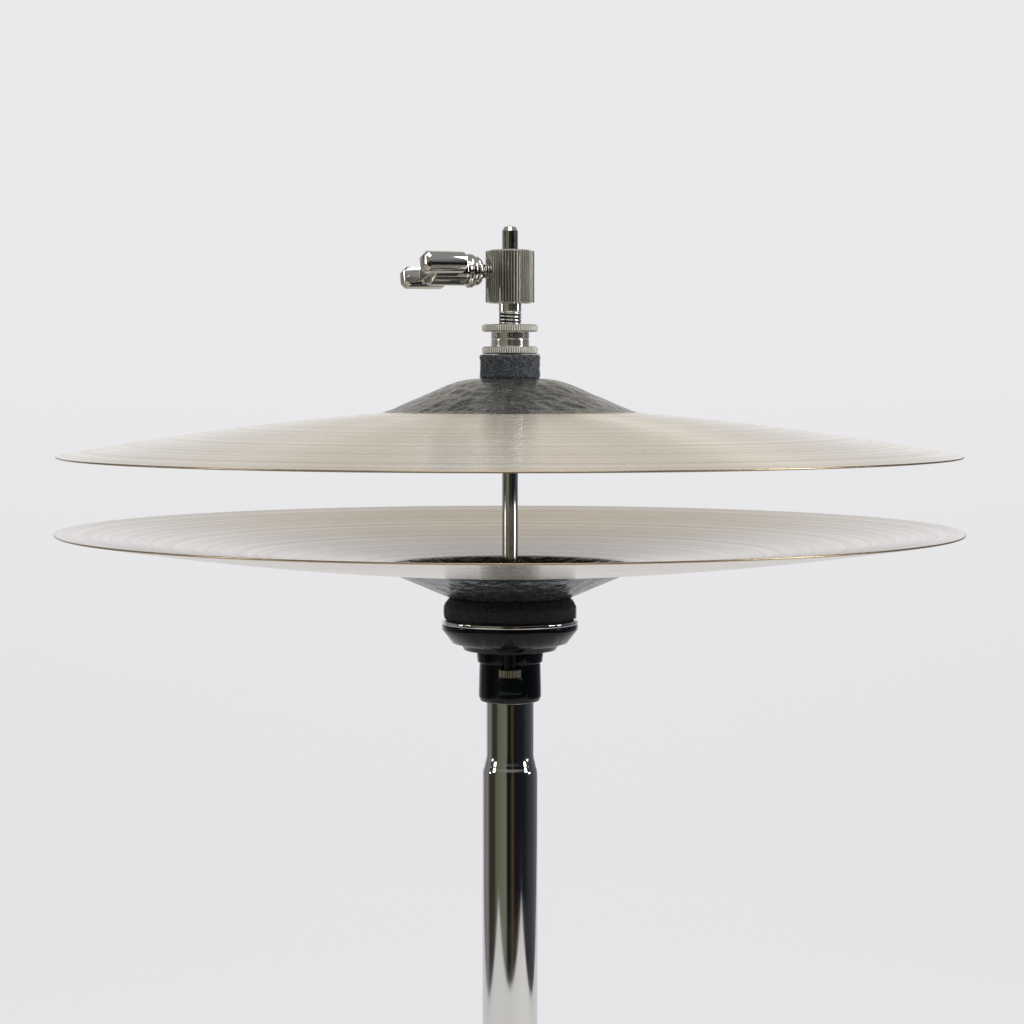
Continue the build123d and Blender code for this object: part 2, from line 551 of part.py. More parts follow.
# ---------------------------------------------------------------- pedal
def make_pedal():
    """Footboard, its toe bracket and stop, heel plate, pins and radius rods."""
    reach = hypot(TOE_PIN[0] - HEEL_Y, TOE_PIN[1] - HEEL_Z)
    heel_half, toe_half = BOARD_WIDTH[0] / 2, BOARD_WIDTH[1] / 2
    heel_from, toe_to = 9.0, reach - 12.0
    outline = FilletPolyline(
        (-heel_half, heel_from),
        (heel_half, heel_from),
        (toe_half, toe_to - 40),
        (toe_half - 10, toe_to),
        (10 - toe_half, toe_to),
        (-toe_half, toe_to - 40),
        radius=[2, 2, 20, 8, 8, 20],
        close=True,
    )
    board_low = -BOARD_THICK / 2
    board = Pos(0, 0, board_low) * extrude(make_face(outline), BOARD_THICK)
    rib_count = 9
    first_rib, last_rib = 60.0, toe_to - 60.0
    for i in range(rib_count):
        along = first_rib + i * (last_rib - first_rib) / (rib_count - 1)
        rib_half = heel_half - 6 + (toe_half - heel_half) * along / toe_to
        board += Pos(0, along, -board_low) * Box(2 * rib_half, 5.0, 1.5, align=UP)
    knuckle_half = 14.0
    knuckle = Rot(0, 90, 0) * Cylinder(HEEL_PIN_R + 3.5, 2 * knuckle_half)
    board += knuckle + block((-knuckle_half, knuckle_half), (0, heel_from + 2), (board_low, -board_low))
    board -= Rot(0, 90, 0) * Cylinder(HEEL_PIN_R + FIT, 60)
    stop = block((-toe_half + 14, toe_half - 14), (toe_to - 26, toe_to - 20), (-board_low, -board_low + 10))
    stop = fillet(stop.edges().filter_by(Axis.Z), 2.5)
    ear_low, ear_high = 2 * CHAIN_PLATE + 3.0, 2 * CHAIN_PLATE + 6.0
    ear = block((ear_low, ear_high), (reach - 30, reach + 6), (-board_low, -board_low + 5))
    ear += block((ear_low, ear_high), (reach - 11.5, reach + 6), (-6, -board_low + 5))
    bridge = block((-ear_high, ear_high), (reach - 19, reach - 14), (-board_low, -board_low + 5))
    ears = ear + mirror(ear, Plane.YZ) + bridge
    ears -= Pos(0, reach, 0) * Rot(0, 90, 0) * Cylinder(PIN_R, 60)
    toe_pin = Pos(0, reach, 0) * Rot(0, 90, 0) * Cylinder(PIN_R, 2 * ear_high + 1)
    place = Pos(0, HEEL_Y, HEEL_Z) * Rot(BOARD_ANGLE, 0, 0)

    plate_w, plate_h = HEEL_PLATE
    plate_y = (-LEG_REACH, HEEL_Y - 6.9)
    knuckle_out = 27.0
    heel = block((-plate_w / 2, plate_w / 2), plate_y, (HEEL_PAD, HEEL_PAD + plate_h))
    heel = fillet(heel.edges().filter_by(Axis.Z).group_by(Axis.Y)[0], 14)
    for side in (-1, 1):
        x_pair = sorted((side * (knuckle_half + 0.4), side * knuckle_out))
        ear_block = block(x_pair, (HEEL_Y - 14, HEEL_Y), (HEEL_PAD, HEEL_Z))
        eye = Pos(side * (knuckle_half + 0.4 + knuckle_out) / 2, HEEL_Y, HEEL_Z) * Rot(0, 90, 0)
        heel += ear_block + eye * Cylinder(HEEL_PIN_R + 3.5, knuckle_out - knuckle_half - 0.4)
        rod_x, rod_r = side * RADIUS_ROD[0], RADIUS_ROD[1]
        socket_x = (rod_x - 6.5, rod_x + 6.5)
        heel += block(socket_x, (HEEL_Y - 22, HEEL_Y - 6.9), (HEEL_PAD, PAD_HEIGHT + 12))
        heel -= Pos(rod_x, HEEL_Y - 6.9, PAD_HEIGHT + 6) * Rot(90, 0, 0) * Cylinder(rod_r, 11, align=UP)
    heel -= Pos(0, HEEL_Y, HEEL_Z) * Rot(0, 90, 0) * Cylinder(HEEL_PIN_R, 80)
    pad = block((-plate_w / 2 + 3, plate_w / 2 - 3), (plate_y[0] + 3, plate_y[1] - 2), (0, HEEL_PAD))
    pad = fillet(pad.edges().filter_by(Axis.Z).group_by(Axis.Y)[0], 12)
    rod_ends = (HEEL_Y - 6.9 - 11, -34.0)
    rods = {}
    for name, side in (("left", -1), ("right", 1)):
        length = rod_ends[1] - rod_ends[0]
        place_rod = Pos(side * RADIUS_ROD[0], rod_ends[1], PAD_HEIGHT + 6) * Rot(90, 0, 0)
        rods[f"radius_rod_{name}"] = place_rod * Cylinder(RADIUS_ROD[1], length, align=UP)
    save(
        footboard=place * board,
        toe_stop=place * stop,
        toe_bracket=place * ears,
        toe_pin=place * toe_pin,
        heel_plate=heel,
        heel_pad=pad,
        heel_pin=cross_pin(HEEL_PIN_R, knuckle_out + 1, HEEL_Y, HEEL_Z),
        **rods,
    )


# ---------------------------------------------------------------- base and legs
def leg_place(azimuth):
    """Turn from the leg's own frame, which points along +X, to its place round the tube."""
    return Rot(0, 0, azimuth)


def make_base():
    """Cast base frame with its leg lugs, the rubber pads under it and the spring's tension ring."""
    inner, outer, _ = BASE_RING
    frame = tube(inner, outer, PAD_HEIGHT, BASE_RING_TOP_Z)
    frame -= block((-BASE_MOUTH / 2, BASE_MOUTH / 2), (-outer - 1, 0), (0, BASE_RING_TOP_Z + 1))
    pivot_r, pivot_z = LEG_PIVOT
    ear_in, ear_out = LEG_WIDTH / 2 + 0.4, LEG_WIDTH / 2 + 4.4
    for azimuth in LEG_AZIMUTHS.values():
        lug = block((outer - 5, outer - 0.5), (-ear_out, ear_out), (PAD_HEIGHT, BASE_RING_TOP_Z))
        for side in (-1, 1):
            y_pair = sorted((side * ear_in, side * ear_out))
            ear = block((outer - 5, pivot_r), y_pair, (PAD_HEIGHT, pivot_z + 7.5))
            ear += block((pivot_r - 1, pivot_r + 7.5), y_pair, (PAD_HEIGHT + 6, pivot_z))
            ear += Pos(pivot_r, sum(y_pair) / 2, pivot_z) * Rot(90, 0, 0) * Cylinder(7.5, ear_out - ear_in)
            lug += ear
        lug -= Pos(pivot_r, 0, pivot_z) * Rot(90, 0, 0) * Cylinder(LEG_BOLT_R, 60)
        frame += leg_place(azimuth) * lug
    bridge_low, bridge_high = BRIDGE_Z
    for side in (-1, 1):
        x_pair = sorted((side * POST_X[0], side * POST_X[1]))
        upright = block(x_pair, (-POST_DEPTH / 2, POST_DEPTH / 2), (PAD_HEIGHT + 2, bridge_high))
        frame += chamfer(upright.edges().filter_by(Axis.Z), 2.0)
        gusset = Plane.XZ * make_face(
            Polyline(
                (side * (POST_X[0] + 1), bridge_low + 1),
                (side * (POST_X[0] + 1), bridge_low - 26),
                (side * (POST_X[0] - 26), bridge_low + 1),
                close=True,
            )
        )
        frame += extrude(gusset, 7, both=True)
    bridge = block((-POST_X[1] + 1, POST_X[1] - 1), (-13, 13), (bridge_low, bridge_high))
    frame += bridge + post(22.0, bridge_low, bridge_high + 4)
    frame -= post(LOWER_TUBE_R + SEAT_FIT, bridge_high - TUBE_SOCKET, bridge_high + 20)
    frame -= post(LOWER_ROD_R + 1.5, bridge_low - 5, bridge_high)
    for side in (-1, 1):
        rod = Pos(side * RADIUS_ROD[0], -34.0, PAD_HEIGHT + 6) * Rot(90, 0, 0)
        frame -= rod * Cylinder(RADIUS_ROD[1], 60, align=UP)
    pads = [
        leg_place(angle) * Pos((inner + outer) / 2, 0, 0) * Cone(7.8, 6.8, PAD_HEIGHT, align=UP)
        for angle in (45, 135, 196, 344)
    ]
    ring_r, ring_h = TENSION_RING
    ring_low = bridge_high + 5.0
    ring = turned(
        (LOWER_TUBE_R + FIT, ring_low),
        (ring_r - 1, ring_low),
        (ring_r, ring_low + 1),
        (ring_r, ring_low + ring_h - 1),
        (ring_r - 1, ring_low + ring_h),
        (LOWER_TUBE_R + FIT, ring_low + ring_h),
    )
    save(base_frame=frame, frame_feet=Compound(pads), tension_ring=ring)


def make_legs():
    """Three legs hinged on the base frame, with their bolts and rubber tips."""
    pivot_r, pivot_z = LEG_PIVOT
    tip_length, tip_width, tip_height = LEG_TIP
    tip_from = LEG_REACH - tip_length
    bar_end = LEG_REACH - 5.0
    tip_axis_z = 11.0
    side = FilletPolyline(
        (pivot_r, pivot_z + LEG_DEPTH / 2),
        (pivot_r, pivot_z - LEG_DEPTH / 2),
        (pivot_r + 30, pivot_z - LEG_DEPTH / 2),
        (tip_from - 30, tip_axis_z - LEG_DEPTH / 2 + 1),
        (bar_end, tip_axis_z - LEG_DEPTH / 2 + 1),
        (bar_end, tip_axis_z + LEG_DEPTH / 2 - 1),
        (tip_from - 30, tip_axis_z + LEG_DEPTH / 2 - 1),
        (pivot_r + 30, pivot_z + LEG_DEPTH / 2),
        radius=[0, 0, 60, 60, 0, 0, 60, 60],
        close=True,
    )
    bar = extrude(Plane.XZ * make_face(side), LEG_WIDTH / 2, both=True)
    eye = Pos(pivot_r, 0, pivot_z) * Rot(90, 0, 0) * Cylinder(LEG_EYE_R, LEG_WIDTH)
    hole = Pos(pivot_r, 0, pivot_z) * Rot(90, 0, 0) * Cylinder(LEG_BOLT_R + FIT, LEG_WIDTH + 2)
    leg = bar + eye - hole
    tip = block((tip_from, LEG_REACH), (-tip_width / 2, tip_width / 2), (0, tip_height))
    tip = fillet(tip.edges().filter_by(Axis.Z).group_by(Axis.X)[-1], 5)
    tip = chamfer(tip.faces().sort_by(Axis.Z)[-1].edges(), 1.5)
    tip -= block(
        (tip_from - 1, bar_end),
        (-LEG_WIDTH / 2, LEG_WIDTH / 2),
        (tip_axis_z - LEG_DEPTH / 2 + 1, tip_axis_z + LEG_DEPTH / 2 - 1),
    )
    half = LEG_WIDTH / 2 + 4.4
    bolt = Pos(pivot_r, 0, pivot_z) * Rot(90, 0, 0) * Cylinder(LEG_BOLT_R, 2 * half)
    for end in (-1, 1):
        head = Cylinder(LEG_BOLT_R + 2.0, 2.5, align=UP)
        bolt += Pos(pivot_r, -half * end, pivot_z) * Rot(90 * end, 0, 0) * head
    for name, azimuth in LEG_AZIMUTHS.items():
        place = leg_place(azimuth)
        save(**{f"leg_{name}": place * leg, f"leg_tip_{name}": place * tip, f"leg_bolt_{name}": place * bolt})


def main():
    """Build every piece."""
    os.makedirs("parts", exist_ok=True)
    make_cymbals()
    make_clutch()
    make_seat()
    make_tubes()
    make_rod()
    make_chain()
    make_pedal()
    make_base()
    make_legs()


if __name__ == "__main__":
    main()
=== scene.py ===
"""The looks of a hi hat on its pedal stand: finishes, turned, knurled and felted pieces, and the studio.

Metres, +Z up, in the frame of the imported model: the origin is on the floor, on the axis of the tubes.
"""

import json
import logging
import math
from dataclasses import dataclass
from enum import Enum
from typing import Callable

import bmesh
import bpy
import numpy as np
from mathutils import Matrix, Vector

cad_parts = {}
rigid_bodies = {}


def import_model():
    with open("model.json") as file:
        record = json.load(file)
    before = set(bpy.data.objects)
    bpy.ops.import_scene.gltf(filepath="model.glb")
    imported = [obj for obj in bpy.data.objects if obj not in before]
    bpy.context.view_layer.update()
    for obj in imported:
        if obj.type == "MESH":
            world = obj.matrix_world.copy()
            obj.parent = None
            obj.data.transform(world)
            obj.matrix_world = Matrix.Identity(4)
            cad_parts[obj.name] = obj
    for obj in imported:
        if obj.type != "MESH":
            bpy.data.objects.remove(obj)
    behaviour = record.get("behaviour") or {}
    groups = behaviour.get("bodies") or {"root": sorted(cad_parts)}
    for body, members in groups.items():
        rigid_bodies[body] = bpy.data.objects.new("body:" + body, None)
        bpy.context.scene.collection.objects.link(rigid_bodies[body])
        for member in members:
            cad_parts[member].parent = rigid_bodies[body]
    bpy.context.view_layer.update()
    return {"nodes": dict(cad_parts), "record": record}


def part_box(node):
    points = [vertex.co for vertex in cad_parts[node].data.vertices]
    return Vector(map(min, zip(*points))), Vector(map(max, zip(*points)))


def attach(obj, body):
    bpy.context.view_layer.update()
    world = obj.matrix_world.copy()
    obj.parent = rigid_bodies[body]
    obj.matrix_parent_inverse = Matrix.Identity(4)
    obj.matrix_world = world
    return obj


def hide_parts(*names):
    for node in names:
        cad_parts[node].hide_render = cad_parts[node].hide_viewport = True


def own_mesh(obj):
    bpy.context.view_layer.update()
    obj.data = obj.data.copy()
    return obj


MM = 0.001
Colour = tuple[float, float, float]
Profile = list[tuple[float, float]]
Corners = list[tuple[float, float, float]]
Socket = bpy.types.NodeSocket

log = logging.getLogger("hi_hat")


# ------------------------------------------------------------------ node trees
class Graph:
    """A node tree, with short ways to add and join its nodes."""

    def __init__(self, tree: bpy.types.NodeTree) -> None:
        """Start from a tree.

        Args:
            tree: the shader or geometry tree to fill.
        """
        self.tree = tree

    def add(self, kind: str, inputs: dict | None = None, **settings: object) -> bpy.types.Node:
        """Add a node.

        Args:
            kind: the node's type name.
            inputs: socket name or index, to a plain value or to an output socket to join.
            **settings: the node's own properties.

        Returns:
            The new node.
        """
        node = self.tree.nodes.new(kind)
        for name, value in settings.items():
            setattr(node, name, value)
        for name, value in (inputs or {}).items():
            if isinstance(value, Socket):
                self.link(value, node.inputs[name])
            else:
                node.inputs[name].default_value = value
        return node

    def link(self, source: Socket, target: Socket) -> None:
        """Join an output socket to an input socket."""
        self.tree.links.new(source, target)

    def math(self, operation: str, *values: object) -> Socket:
        """Add a math node on plain values or sockets and return its result."""
        return self.add("ShaderNodeMath", dict(enumerate(values)), operation=operation).outputs[0]

    def noise(self, place: Socket, scale: object, detail: float, output: str = "Fac") -> Socket:
        """Add a noise texture and return one of its outputs."""
        inputs = {"Vector": place, "Scale": scale, "Detail": detail}
        return self.add("ShaderNodeTexNoise", inputs).outputs[output]

    def mix(self, share: object, first: object, second: object) -> Socket:
        """Add a colour mix.

        Args:
            share: how much of the second colour shows, 0 to 1.
            first: the colour at 0.
            second: the colour at 1.

        Returns:
            The mixed colour.
        """
        node = self.add("ShaderNodeMix", data_type="RGBA")
        for index, value in ((0, share), (6, first), (7, second)):
            if isinstance(value, Socket):
                self.link(value, node.inputs[index])
            else:
                node.inputs[index].default_value = value
        return node.outputs[2]

    def span(self, value: object, low: float, high: float, to_low: float, to_high: float) -> Socket:
        """Map a value from one range to another, clamped.

        Args:
            value: the value.
            low: where the first range starts.
            high: where it ends.
            to_low: the result at its start.
            to_high: the result at its end.

        Returns:
            The mapped value.
        """
        inputs = {"Value": value, "From Min": low, "From Max": high, "To Min": to_low, "To Max": to_high}
        return self.add("ShaderNodeMapRange", inputs).outputs["Result"]

    def axis_distance(self, place: Socket) -> Socket:
        """Measure how far a place is from the Z axis.

        Args:
            place: the place.

        Returns:
            The distance.
        """
        flat = self.add("ShaderNodeVectorMath", {0: place, 1: (1.0, 1.0, 0.0)}, operation="MULTIPLY")
        return self.add("ShaderNodeVectorMath", {0: flat.outputs[0]}, operation="LENGTH").outputs["Value"]

    def bump(self, shader: bpy.types.Node, height: Socket, strength: float, depth: float) -> None:
        """Let a height roughen a shader's surface.

        Args:
            shader: the Principled shader.
            height: the height, 0 to 1.
            strength: how strongly it shows, 0 to 1.
            depth: how deep a height of 1 is, in metres.
        """
        inputs = {"Height": height, "Strength": strength, "Distance": depth}
        self.link(self.add("ShaderNodeBump", inputs).outputs[0], shader.inputs["Normal"])


def rgba(colour: Colour) -> tuple[float, float, float, float]:
    """Add full opacity to a colour."""
    return (*colour, 1.0)


def shader_group(name: str, inputs: dict[str, float], outputs: list[str]) -> tuple[Graph, dict, dict]:
    """Start a shader node group with float sockets.

    Args:
        name: the group's name.
        inputs: input names and their starting values.
        outputs: output names.

    Returns:
        Its graph, its input sockets by name and its output sockets by name.
    """
    tree = bpy.data.node_groups.new(name, "ShaderNodeTree")
    for socket, value in inputs.items():
        entry = tree.interface.new_socket(socket, in_out="INPUT", socket_type="NodeSocketFloat")
        entry.default_value = value
    for socket in outputs:
        tree.interface.new_socket(socket, in_out="OUTPUT", socket_type="NodeSocketFloat")
    graph = Graph(tree)
    source = graph.add("NodeGroupInput")
    sink = graph.add("NodeGroupOutput")
    return graph, dict(source.outputs.items()), dict(sink.inputs.items())


def build_mottle_group() -> bpy.types.NodeTree:
    """Build soft patches and fine specks, for handling marks, casting skin and uneven colour.

    Returns:
        The group, which gives both as 0 to 1.
    """
    sizes = {"Patch Scale": 40.0, "Speck Scale": 900.0}
    graph, given, result = shader_group("mottle", sizes, ["Patches", "Specks"])
    place = graph.add("ShaderNodeTexCoord").outputs["Object"]
    graph.link(graph.noise(place, given["Patch Scale"], 4.0), result["Patches"])
    graph.link(graph.noise(place, given["Speck Scale"], 2.0), result["Specks"])
    return graph.tree


def build_lathe_group() -> bpy.types.NodeTree:
    """Build uneven rings about the Z axis, as a lathe tool leaves them.

    Returns:
        The group, which gives the rings' height and a slower tint, both 0 to 1.
    """
    band_share = 0.23
    graph, given, result = shader_group("lathe_rings", {"Pitch mm": 1.0, "Wander": 0.2}, ["Height", "Tint"])
    place = graph.add("ShaderNodeTexCoord").outputs["Object"]
    wobble = graph.noise(place, 9.0, 1.0)
    radius_mm = graph.math("MULTIPLY", graph.axis_distance(place), 1 / MM)
    turns = graph.math("DIVIDE", radius_mm, given["Pitch mm"])
    along = graph.math("ADD", turns, graph.math("MULTIPLY", wobble, given["Wander"]))
    fine = {"W": along, "Scale": 1.0, "Detail": 3.0}
    broad = {"W": graph.math("MULTIPLY", along, band_share), "Scale": 1.0, "Detail": 2.0}
    cuts = graph.add("ShaderNodeTexNoise", fine, noise_dimensions="1D")
    bands = graph.add("ShaderNodeTexNoise", broad, noise_dimensions="1D")
    graph.link(cuts.outputs["Fac"], result["Height"])
    graph.link(bands.outputs["Fac"], result["Tint"])
    return graph.tree


def build_hammer_group() -> bpy.types.NodeTree:
    """Build overlapping hammer marks.

    Returns:
        The group, which gives a height that dips in each mark and a mask of the ridges between.
    """
    drift_scale, drift, ridge_width = 90.0, 0.006, 0.11
    graph, given, result = shader_group("hammer_marks", {"Mark Scale": 220.0}, ["Height", "Edge"])
    place = graph.add("ShaderNodeTexCoord").outputs["Object"]
    wander = graph.noise(place, drift_scale, 2.0, "Color")
    shift = graph.add("ShaderNodeVectorMath", {0: wander, "Scale": drift}, operation="SCALE").outputs[0]
    moved = graph.add("ShaderNodeVectorMath", {0: place, 1: shift}, operation="ADD").outputs[0]
    cell = {"Vector": moved, "Scale": given["Mark Scale"]}
    mark = graph.add("ShaderNodeTexVoronoi", cell, feature="F1").outputs["Distance"]
    border = graph.add("ShaderNodeTexVoronoi", cell, feature="DISTANCE_TO_EDGE").outputs["Distance"]
    graph.link(mark, result["Height"])
    graph.link(graph.span(border, 0.0, ridge_width, 1.0, 0.0), result["Edge"])
    return graph.tree


class Groups:
    """The shader groups that several finishes share, each built once."""

    def __init__(self) -> None:
        """Build every group."""
        self.mottle = build_mottle_group()
        self.lathe = build_lathe_group()
        self.hammer = build_hammer_group()

    @staticmethod
    def place(graph: Graph, group: bpy.types.NodeTree, **values: float) -> bpy.types.Node:
        """Put a group in a material.

        Args:
            graph: the material's graph.
            group: the group.
            **values: its own values, whose names use _ for a space.

        Returns:
            The group's node.
        """
        node = graph.add("ShaderNodeGroup", node_tree=group)
        for name, value in values.items():
            node.inputs[name.replace("_", " ")].default_value = value
        return node


def new_material(name: str) -> tuple[bpy.types.Material, Graph, bpy.types.Node]:
    """Start a material.

    Args:
        name: the material's name.

    Returns:
        The material, its graph and its Principled shader.
    """
    material = bpy.data.materials.new(name)
    material.use_nodes = True
    graph = Graph(material.node_tree)
    return material, graph, material.node_tree.nodes["Principled BSDF"]


# ------------------------------------------------------------------ finishes
@dataclass(frozen=True)
class Plating:
    """Plated or polished metal: a tint, a gloss, and faint smears that dull it here and there."""

    name: str
    tint: Colour
    gloss: float = 0.06
    smear: float = 0.06
    ripple: float = 0.02
    metal: float = 1.0
    shade: float = 0.86

    def material(self, groups: Groups) -> bpy.types.Material:
        """Build the metal.

        Args:
            groups: the shared shader groups.

        Returns:
            The material.
        """
        material, graph, shader = new_material(self.name)
        mottle = groups.place(graph, groups.mottle, Patch_Scale=35.0, Speck_Scale=1400.0)
        dark = rgba(tuple(self.shade * part for part in self.tint))
        colour = graph.mix(mottle.outputs["Patches"], rgba(self.tint), dark)
        graph.link(colour, shader.inputs["Base Color"])
        dull = graph.span(mottle.outputs["Patches"], 0.4, 0.75, self.gloss, self.gloss + self.smear)
        graph.link(dull, shader.inputs["Roughness"])
        shader.inputs["Metallic"].default_value = self.metal
        graph.bump(shader, mottle.outputs["Specks"], self.ripple, 0.05 * MM)
        return material


@dataclass(frozen=True)
class LathedBronze:
    """Lathed cymbal bronze: fine uneven rings, and a highlight that spreads across them."""

    name: str
    light: Colour
    dark: Colour
    gloss: float = 0.24
    spread: float = 0.92
    depth: float = 0.35
    metal: float = 0.72

    def material(self, groups: Groups) -> bpy.types.Material:
        """Build the lathed metal.

        Args:
            groups: the shared shader groups.

        Returns:
            The material.
        """
        material, graph, shader = new_material(self.name)
        fine = groups.place(graph, groups.lathe, Pitch_mm=0.9, Wander=0.15)
        mottle = groups.place(graph, groups.mottle, Patch_Scale=14.0, Speck_Scale=300.0)
        tone = graph.span(fine.outputs["Tint"], 0.3, 0.7, 0.0, 0.75)
        uneven = graph.math("ADD", tone, graph.span(mottle.outputs["Patches"], 0.35, 0.7, 0.0, 0.25))
        colour = graph.mix(uneven, rgba(self.light), rgba(self.dark))
        graph.link(colour, shader.inputs["Base Color"])
        shader.inputs["Metallic"].default_value = self.metal
        rough = graph.span(fine.outputs["Height"], 0.3, 0.7, self.gloss - 0.04, self.gloss + 0.06)
        graph.link(rough, shader.inputs["Roughness"])
        shader.inputs["Anisotropic"].default_value = self.spread
        shader.inputs["Anisotropic Rotation"].default_value = 0.25
        tangent = graph.add("ShaderNodeTangent", direction_type="RADIAL", axis="Z")
        graph.link(tangent.outputs[0], shader.inputs["Tangent"])
        graph.bump(shader, fine.outputs["Height"], self.depth, 0.06 * MM)
        return material


@dataclass(frozen=True)
class RawBronze:
    """Unlathed bell bronze: dark scale left from the oven, worn through in patches."""

    name: str
    scale_colour: Colour
    worn_colour: Colour
    mark_scale: float = 230.0
    hammer_depth: float = 0.75
    metal: float = 0.72

    def material(self, groups: Groups) -> bpy.types.Material:
        """Build the raw metal.

        Args:
            groups: the shared shader groups.

        Returns:
            The material.
        """
        material, graph, shader = new_material(self.name)
        mottle = groups.place(graph, groups.mottle, Patch_Scale=70.0, Speck_Scale=700.0)
        marks = groups.place(graph, groups.hammer, Mark_Scale=self.mark_scale)
        patchy = graph.span(mottle.outputs["Patches"], 0.42, 0.72, 0.0, 0.7)
        broken = graph.span(mottle.outputs["Specks"], 0.4, 0.6, 0.1, 0.8)
        edges = graph.math("MULTIPLY", marks.outputs["Edge"], broken)
        worn = graph.math("MINIMUM", graph.math("ADD", patchy, edges), 1.0)
        colour = graph.mix(worn, rgba(self.scale_colour), rgba(self.worn_colour))
        graph.link(colour, shader.inputs["Base Color"])
        shader.inputs["Metallic"].default_value = self.metal
        rough = graph.span(mottle.outputs["Specks"], 0.3, 0.7, 0.17, 0.32)
        graph.link(rough, shader.inputs["Roughness"])
        speck = graph.math("MULTIPLY", mottle.outputs["Specks"], 0.25)
        height = graph.math("ADD", marks.outputs["Height"], speck)
        graph.bump(shader, height, self.hammer_depth, 0.5 * MM)
        return material


@dataclass(frozen=True)
class Moulding:
    """Moulded plastic or rubber: a colour, a gloss and a fine skin, with dust in its patches."""

    name: str
    colour: Colour
    gloss: float
    skin: float = 0.1
    dust: float = 0.05
    grain_scale: float = 1500.0
    shine: float = 0.5

    def material(self, groups: Groups) -> bpy.types.Material:
        """Build the moulding.

        Args:
            groups: the shared shader groups.

        Returns:
            The material.
        """
        material, graph, shader = new_material(self.name)
        mottle = groups.place(graph, groups.mottle, Patch_Scale=60.0, Speck_Scale=self.grain_scale)
        dusty = rgba(tuple(part + self.dust for part in self.colour))
        share = graph.span(mottle.outputs["Patches"], 0.5, 0.8, 0.0, 1.0)
        graph.link(graph.mix(share, rgba(self.colour), dusty), shader.inputs["Base Color"])
        rough = graph.span(mottle.outputs["Patches"], 0.3, 0.8, self.gloss, self.gloss + 0.12)
        graph.link(rough, shader.inputs["Roughness"])
        shader.inputs["Specular IOR Level"].default_value = self.shine
        graph.bump(shader, mottle.outputs["Specks"], self.skin, 0.1 * MM)
        return material


@dataclass(frozen=True)
class Felt:
    """Pressed wool felt: dark fibres of several greys, matte, with a soft sheen."""

    name: str
    dark: Colour
    light: Colour
    sheen: float = 0.12
    matting: float = 0.8

    def material(self, groups: Groups) -> bpy.types.Material:
        """Build the felt.

        Args:
            groups: the shared shader groups.

        Returns:
            The material.
        """
        material, graph, shader = new_material(self.name)
        mottle = groups.place(graph, groups.mottle, Patch_Scale=420.0, Speck_Scale=1500.0)
        share = graph.span(mottle.outputs["Specks"], 0.42, 0.62, 0.0, 1.0)
        colour = graph.mix(share, rgba(self.dark), rgba(self.light))
        graph.link(colour, shader.inputs["Base Color"])
        shader.inputs["Roughness"].default_value = 0.95
        shader.inputs["Sheen Weight"].default_value = self.sheen
        shader.inputs["Sheen Roughness"].default_value = 0.5
        graph.bump(shader, mottle.outputs["Patches"], self.matting, 0.4 * MM)
        return material


class Finish(Enum):
    """Every finish on the object, by the name a maker would use."""

    CHROME = Plating("chrome", (0.66, 0.65, 0.62))
    BRIGHT = Plating("bright_chrome", (0.80, 0.79, 0.75), gloss=0.09, smear=0.03, ripple=0.0, metal=0.88)
    KNURL = Plating("knurled_chrome", (0.46, 0.45, 0.40), gloss=0.22, smear=0.08, ripple=0.0, metal=0.72)
    NUT_KNURL = Plating(
        "knurled_nut_chrome", (0.93, 0.91, 0.86), gloss=0.24, smear=0.08, ripple=0.0, metal=0.30
    )
    # The next two finishes are painted shade: dark cores laid between knurl ridges and under thread ribs.
    SHADED_GROOVE = Plating("painted_groove_shade", (0.025, 0.024, 0.021), gloss=0.45, smear=0.08, ripple=0.0, metal=0.8)
    SHADED_NUT_GROOVE = Plating("painted_nut_groove_shade", (0.30, 0.29, 0.26), gloss=0.40, smear=0.08, ripple=0.0, metal=0.5)
    WHEEL = Plating("dulled_brass_wheel", (0.38, 0.34, 0.25), gloss=0.28, smear=0.1, ripple=0.0, metal=0.7)
    OXIDE = Plating("black_oxide", (0.022, 0.023, 0.024), gloss=0.3, smear=0.1, ripple=0.1)
    STEEL = Plating("zinc_plated_steel", (0.42, 0.42, 0.41), gloss=0.28, smear=0.1, ripple=0.1)
    BOW = LathedBronze("lathed_bronze", (0.88, 0.82, 0.74), (0.66, 0.60, 0.52))
    # Darker copy of the bow bronze for the bottom cymbal: painted shade under the top cymbal.
    SHADED_LOW_BOW = LathedBronze(
        "shaded_bronze", (0.77, 0.715, 0.66), (0.55, 0.50, 0.45), gloss=0.19, spread=0.9, metal=1.0
    )
    BELL = RawBronze("raw_bell_bronze", (0.074, 0.074, 0.072), (0.230, 0.226, 0.216))
    # Darker copy of the bell bronze for the bottom cymbal: painted shade under the top cymbal.
    SHADED_LOW_BELL = RawBronze("shaded_bell_bronze", (0.060, 0.062, 0.064), (0.130, 0.132, 0.136))
    RIM = Plating("turned_rim_bronze", (0.42, 0.33, 0.22), gloss=0.22, smear=0.08, ripple=0.1)
    BLACK = Moulding(
        "polished_black_plastic", (0.003, 0.005, 0.006), gloss=0.10, skin=0.04, dust=0.003, shine=0.18
    )
    NYLON = Moulding("black_nylon", (0.03, 0.03, 0.032), gloss=0.45)
    RUBBER = Moulding("black_rubber", (0.022, 0.022, 0.022), gloss=0.62, skin=0.35, dust=0.03)
    CASTING = Plating("satin_casting", (0.50, 0.50, 0.49), gloss=0.30, smear=0.12, ripple=0.35)
    FELT = Felt("charcoal_felt", (0.014, 0.018, 0.022), (0.120, 0.135, 0.155))
    WOOL = Felt("loose_wool", (0.070, 0.080, 0.095), (0.300, 0.320, 0.350))
    # Darker copies of the charcoal felt and its wool for the seat felt: painted shade under the bottom
    # cymbal.
    SHADED_SEAT_FELT = Felt("painted_shade_felt", (0.007, 0.009, 0.010), (0.026, 0.030, 0.034))
    SHADED_SEAT_WOOL = Felt("painted_shade_wool", (0.012, 0.015, 0.017), (0.050, 0.056, 0.062))


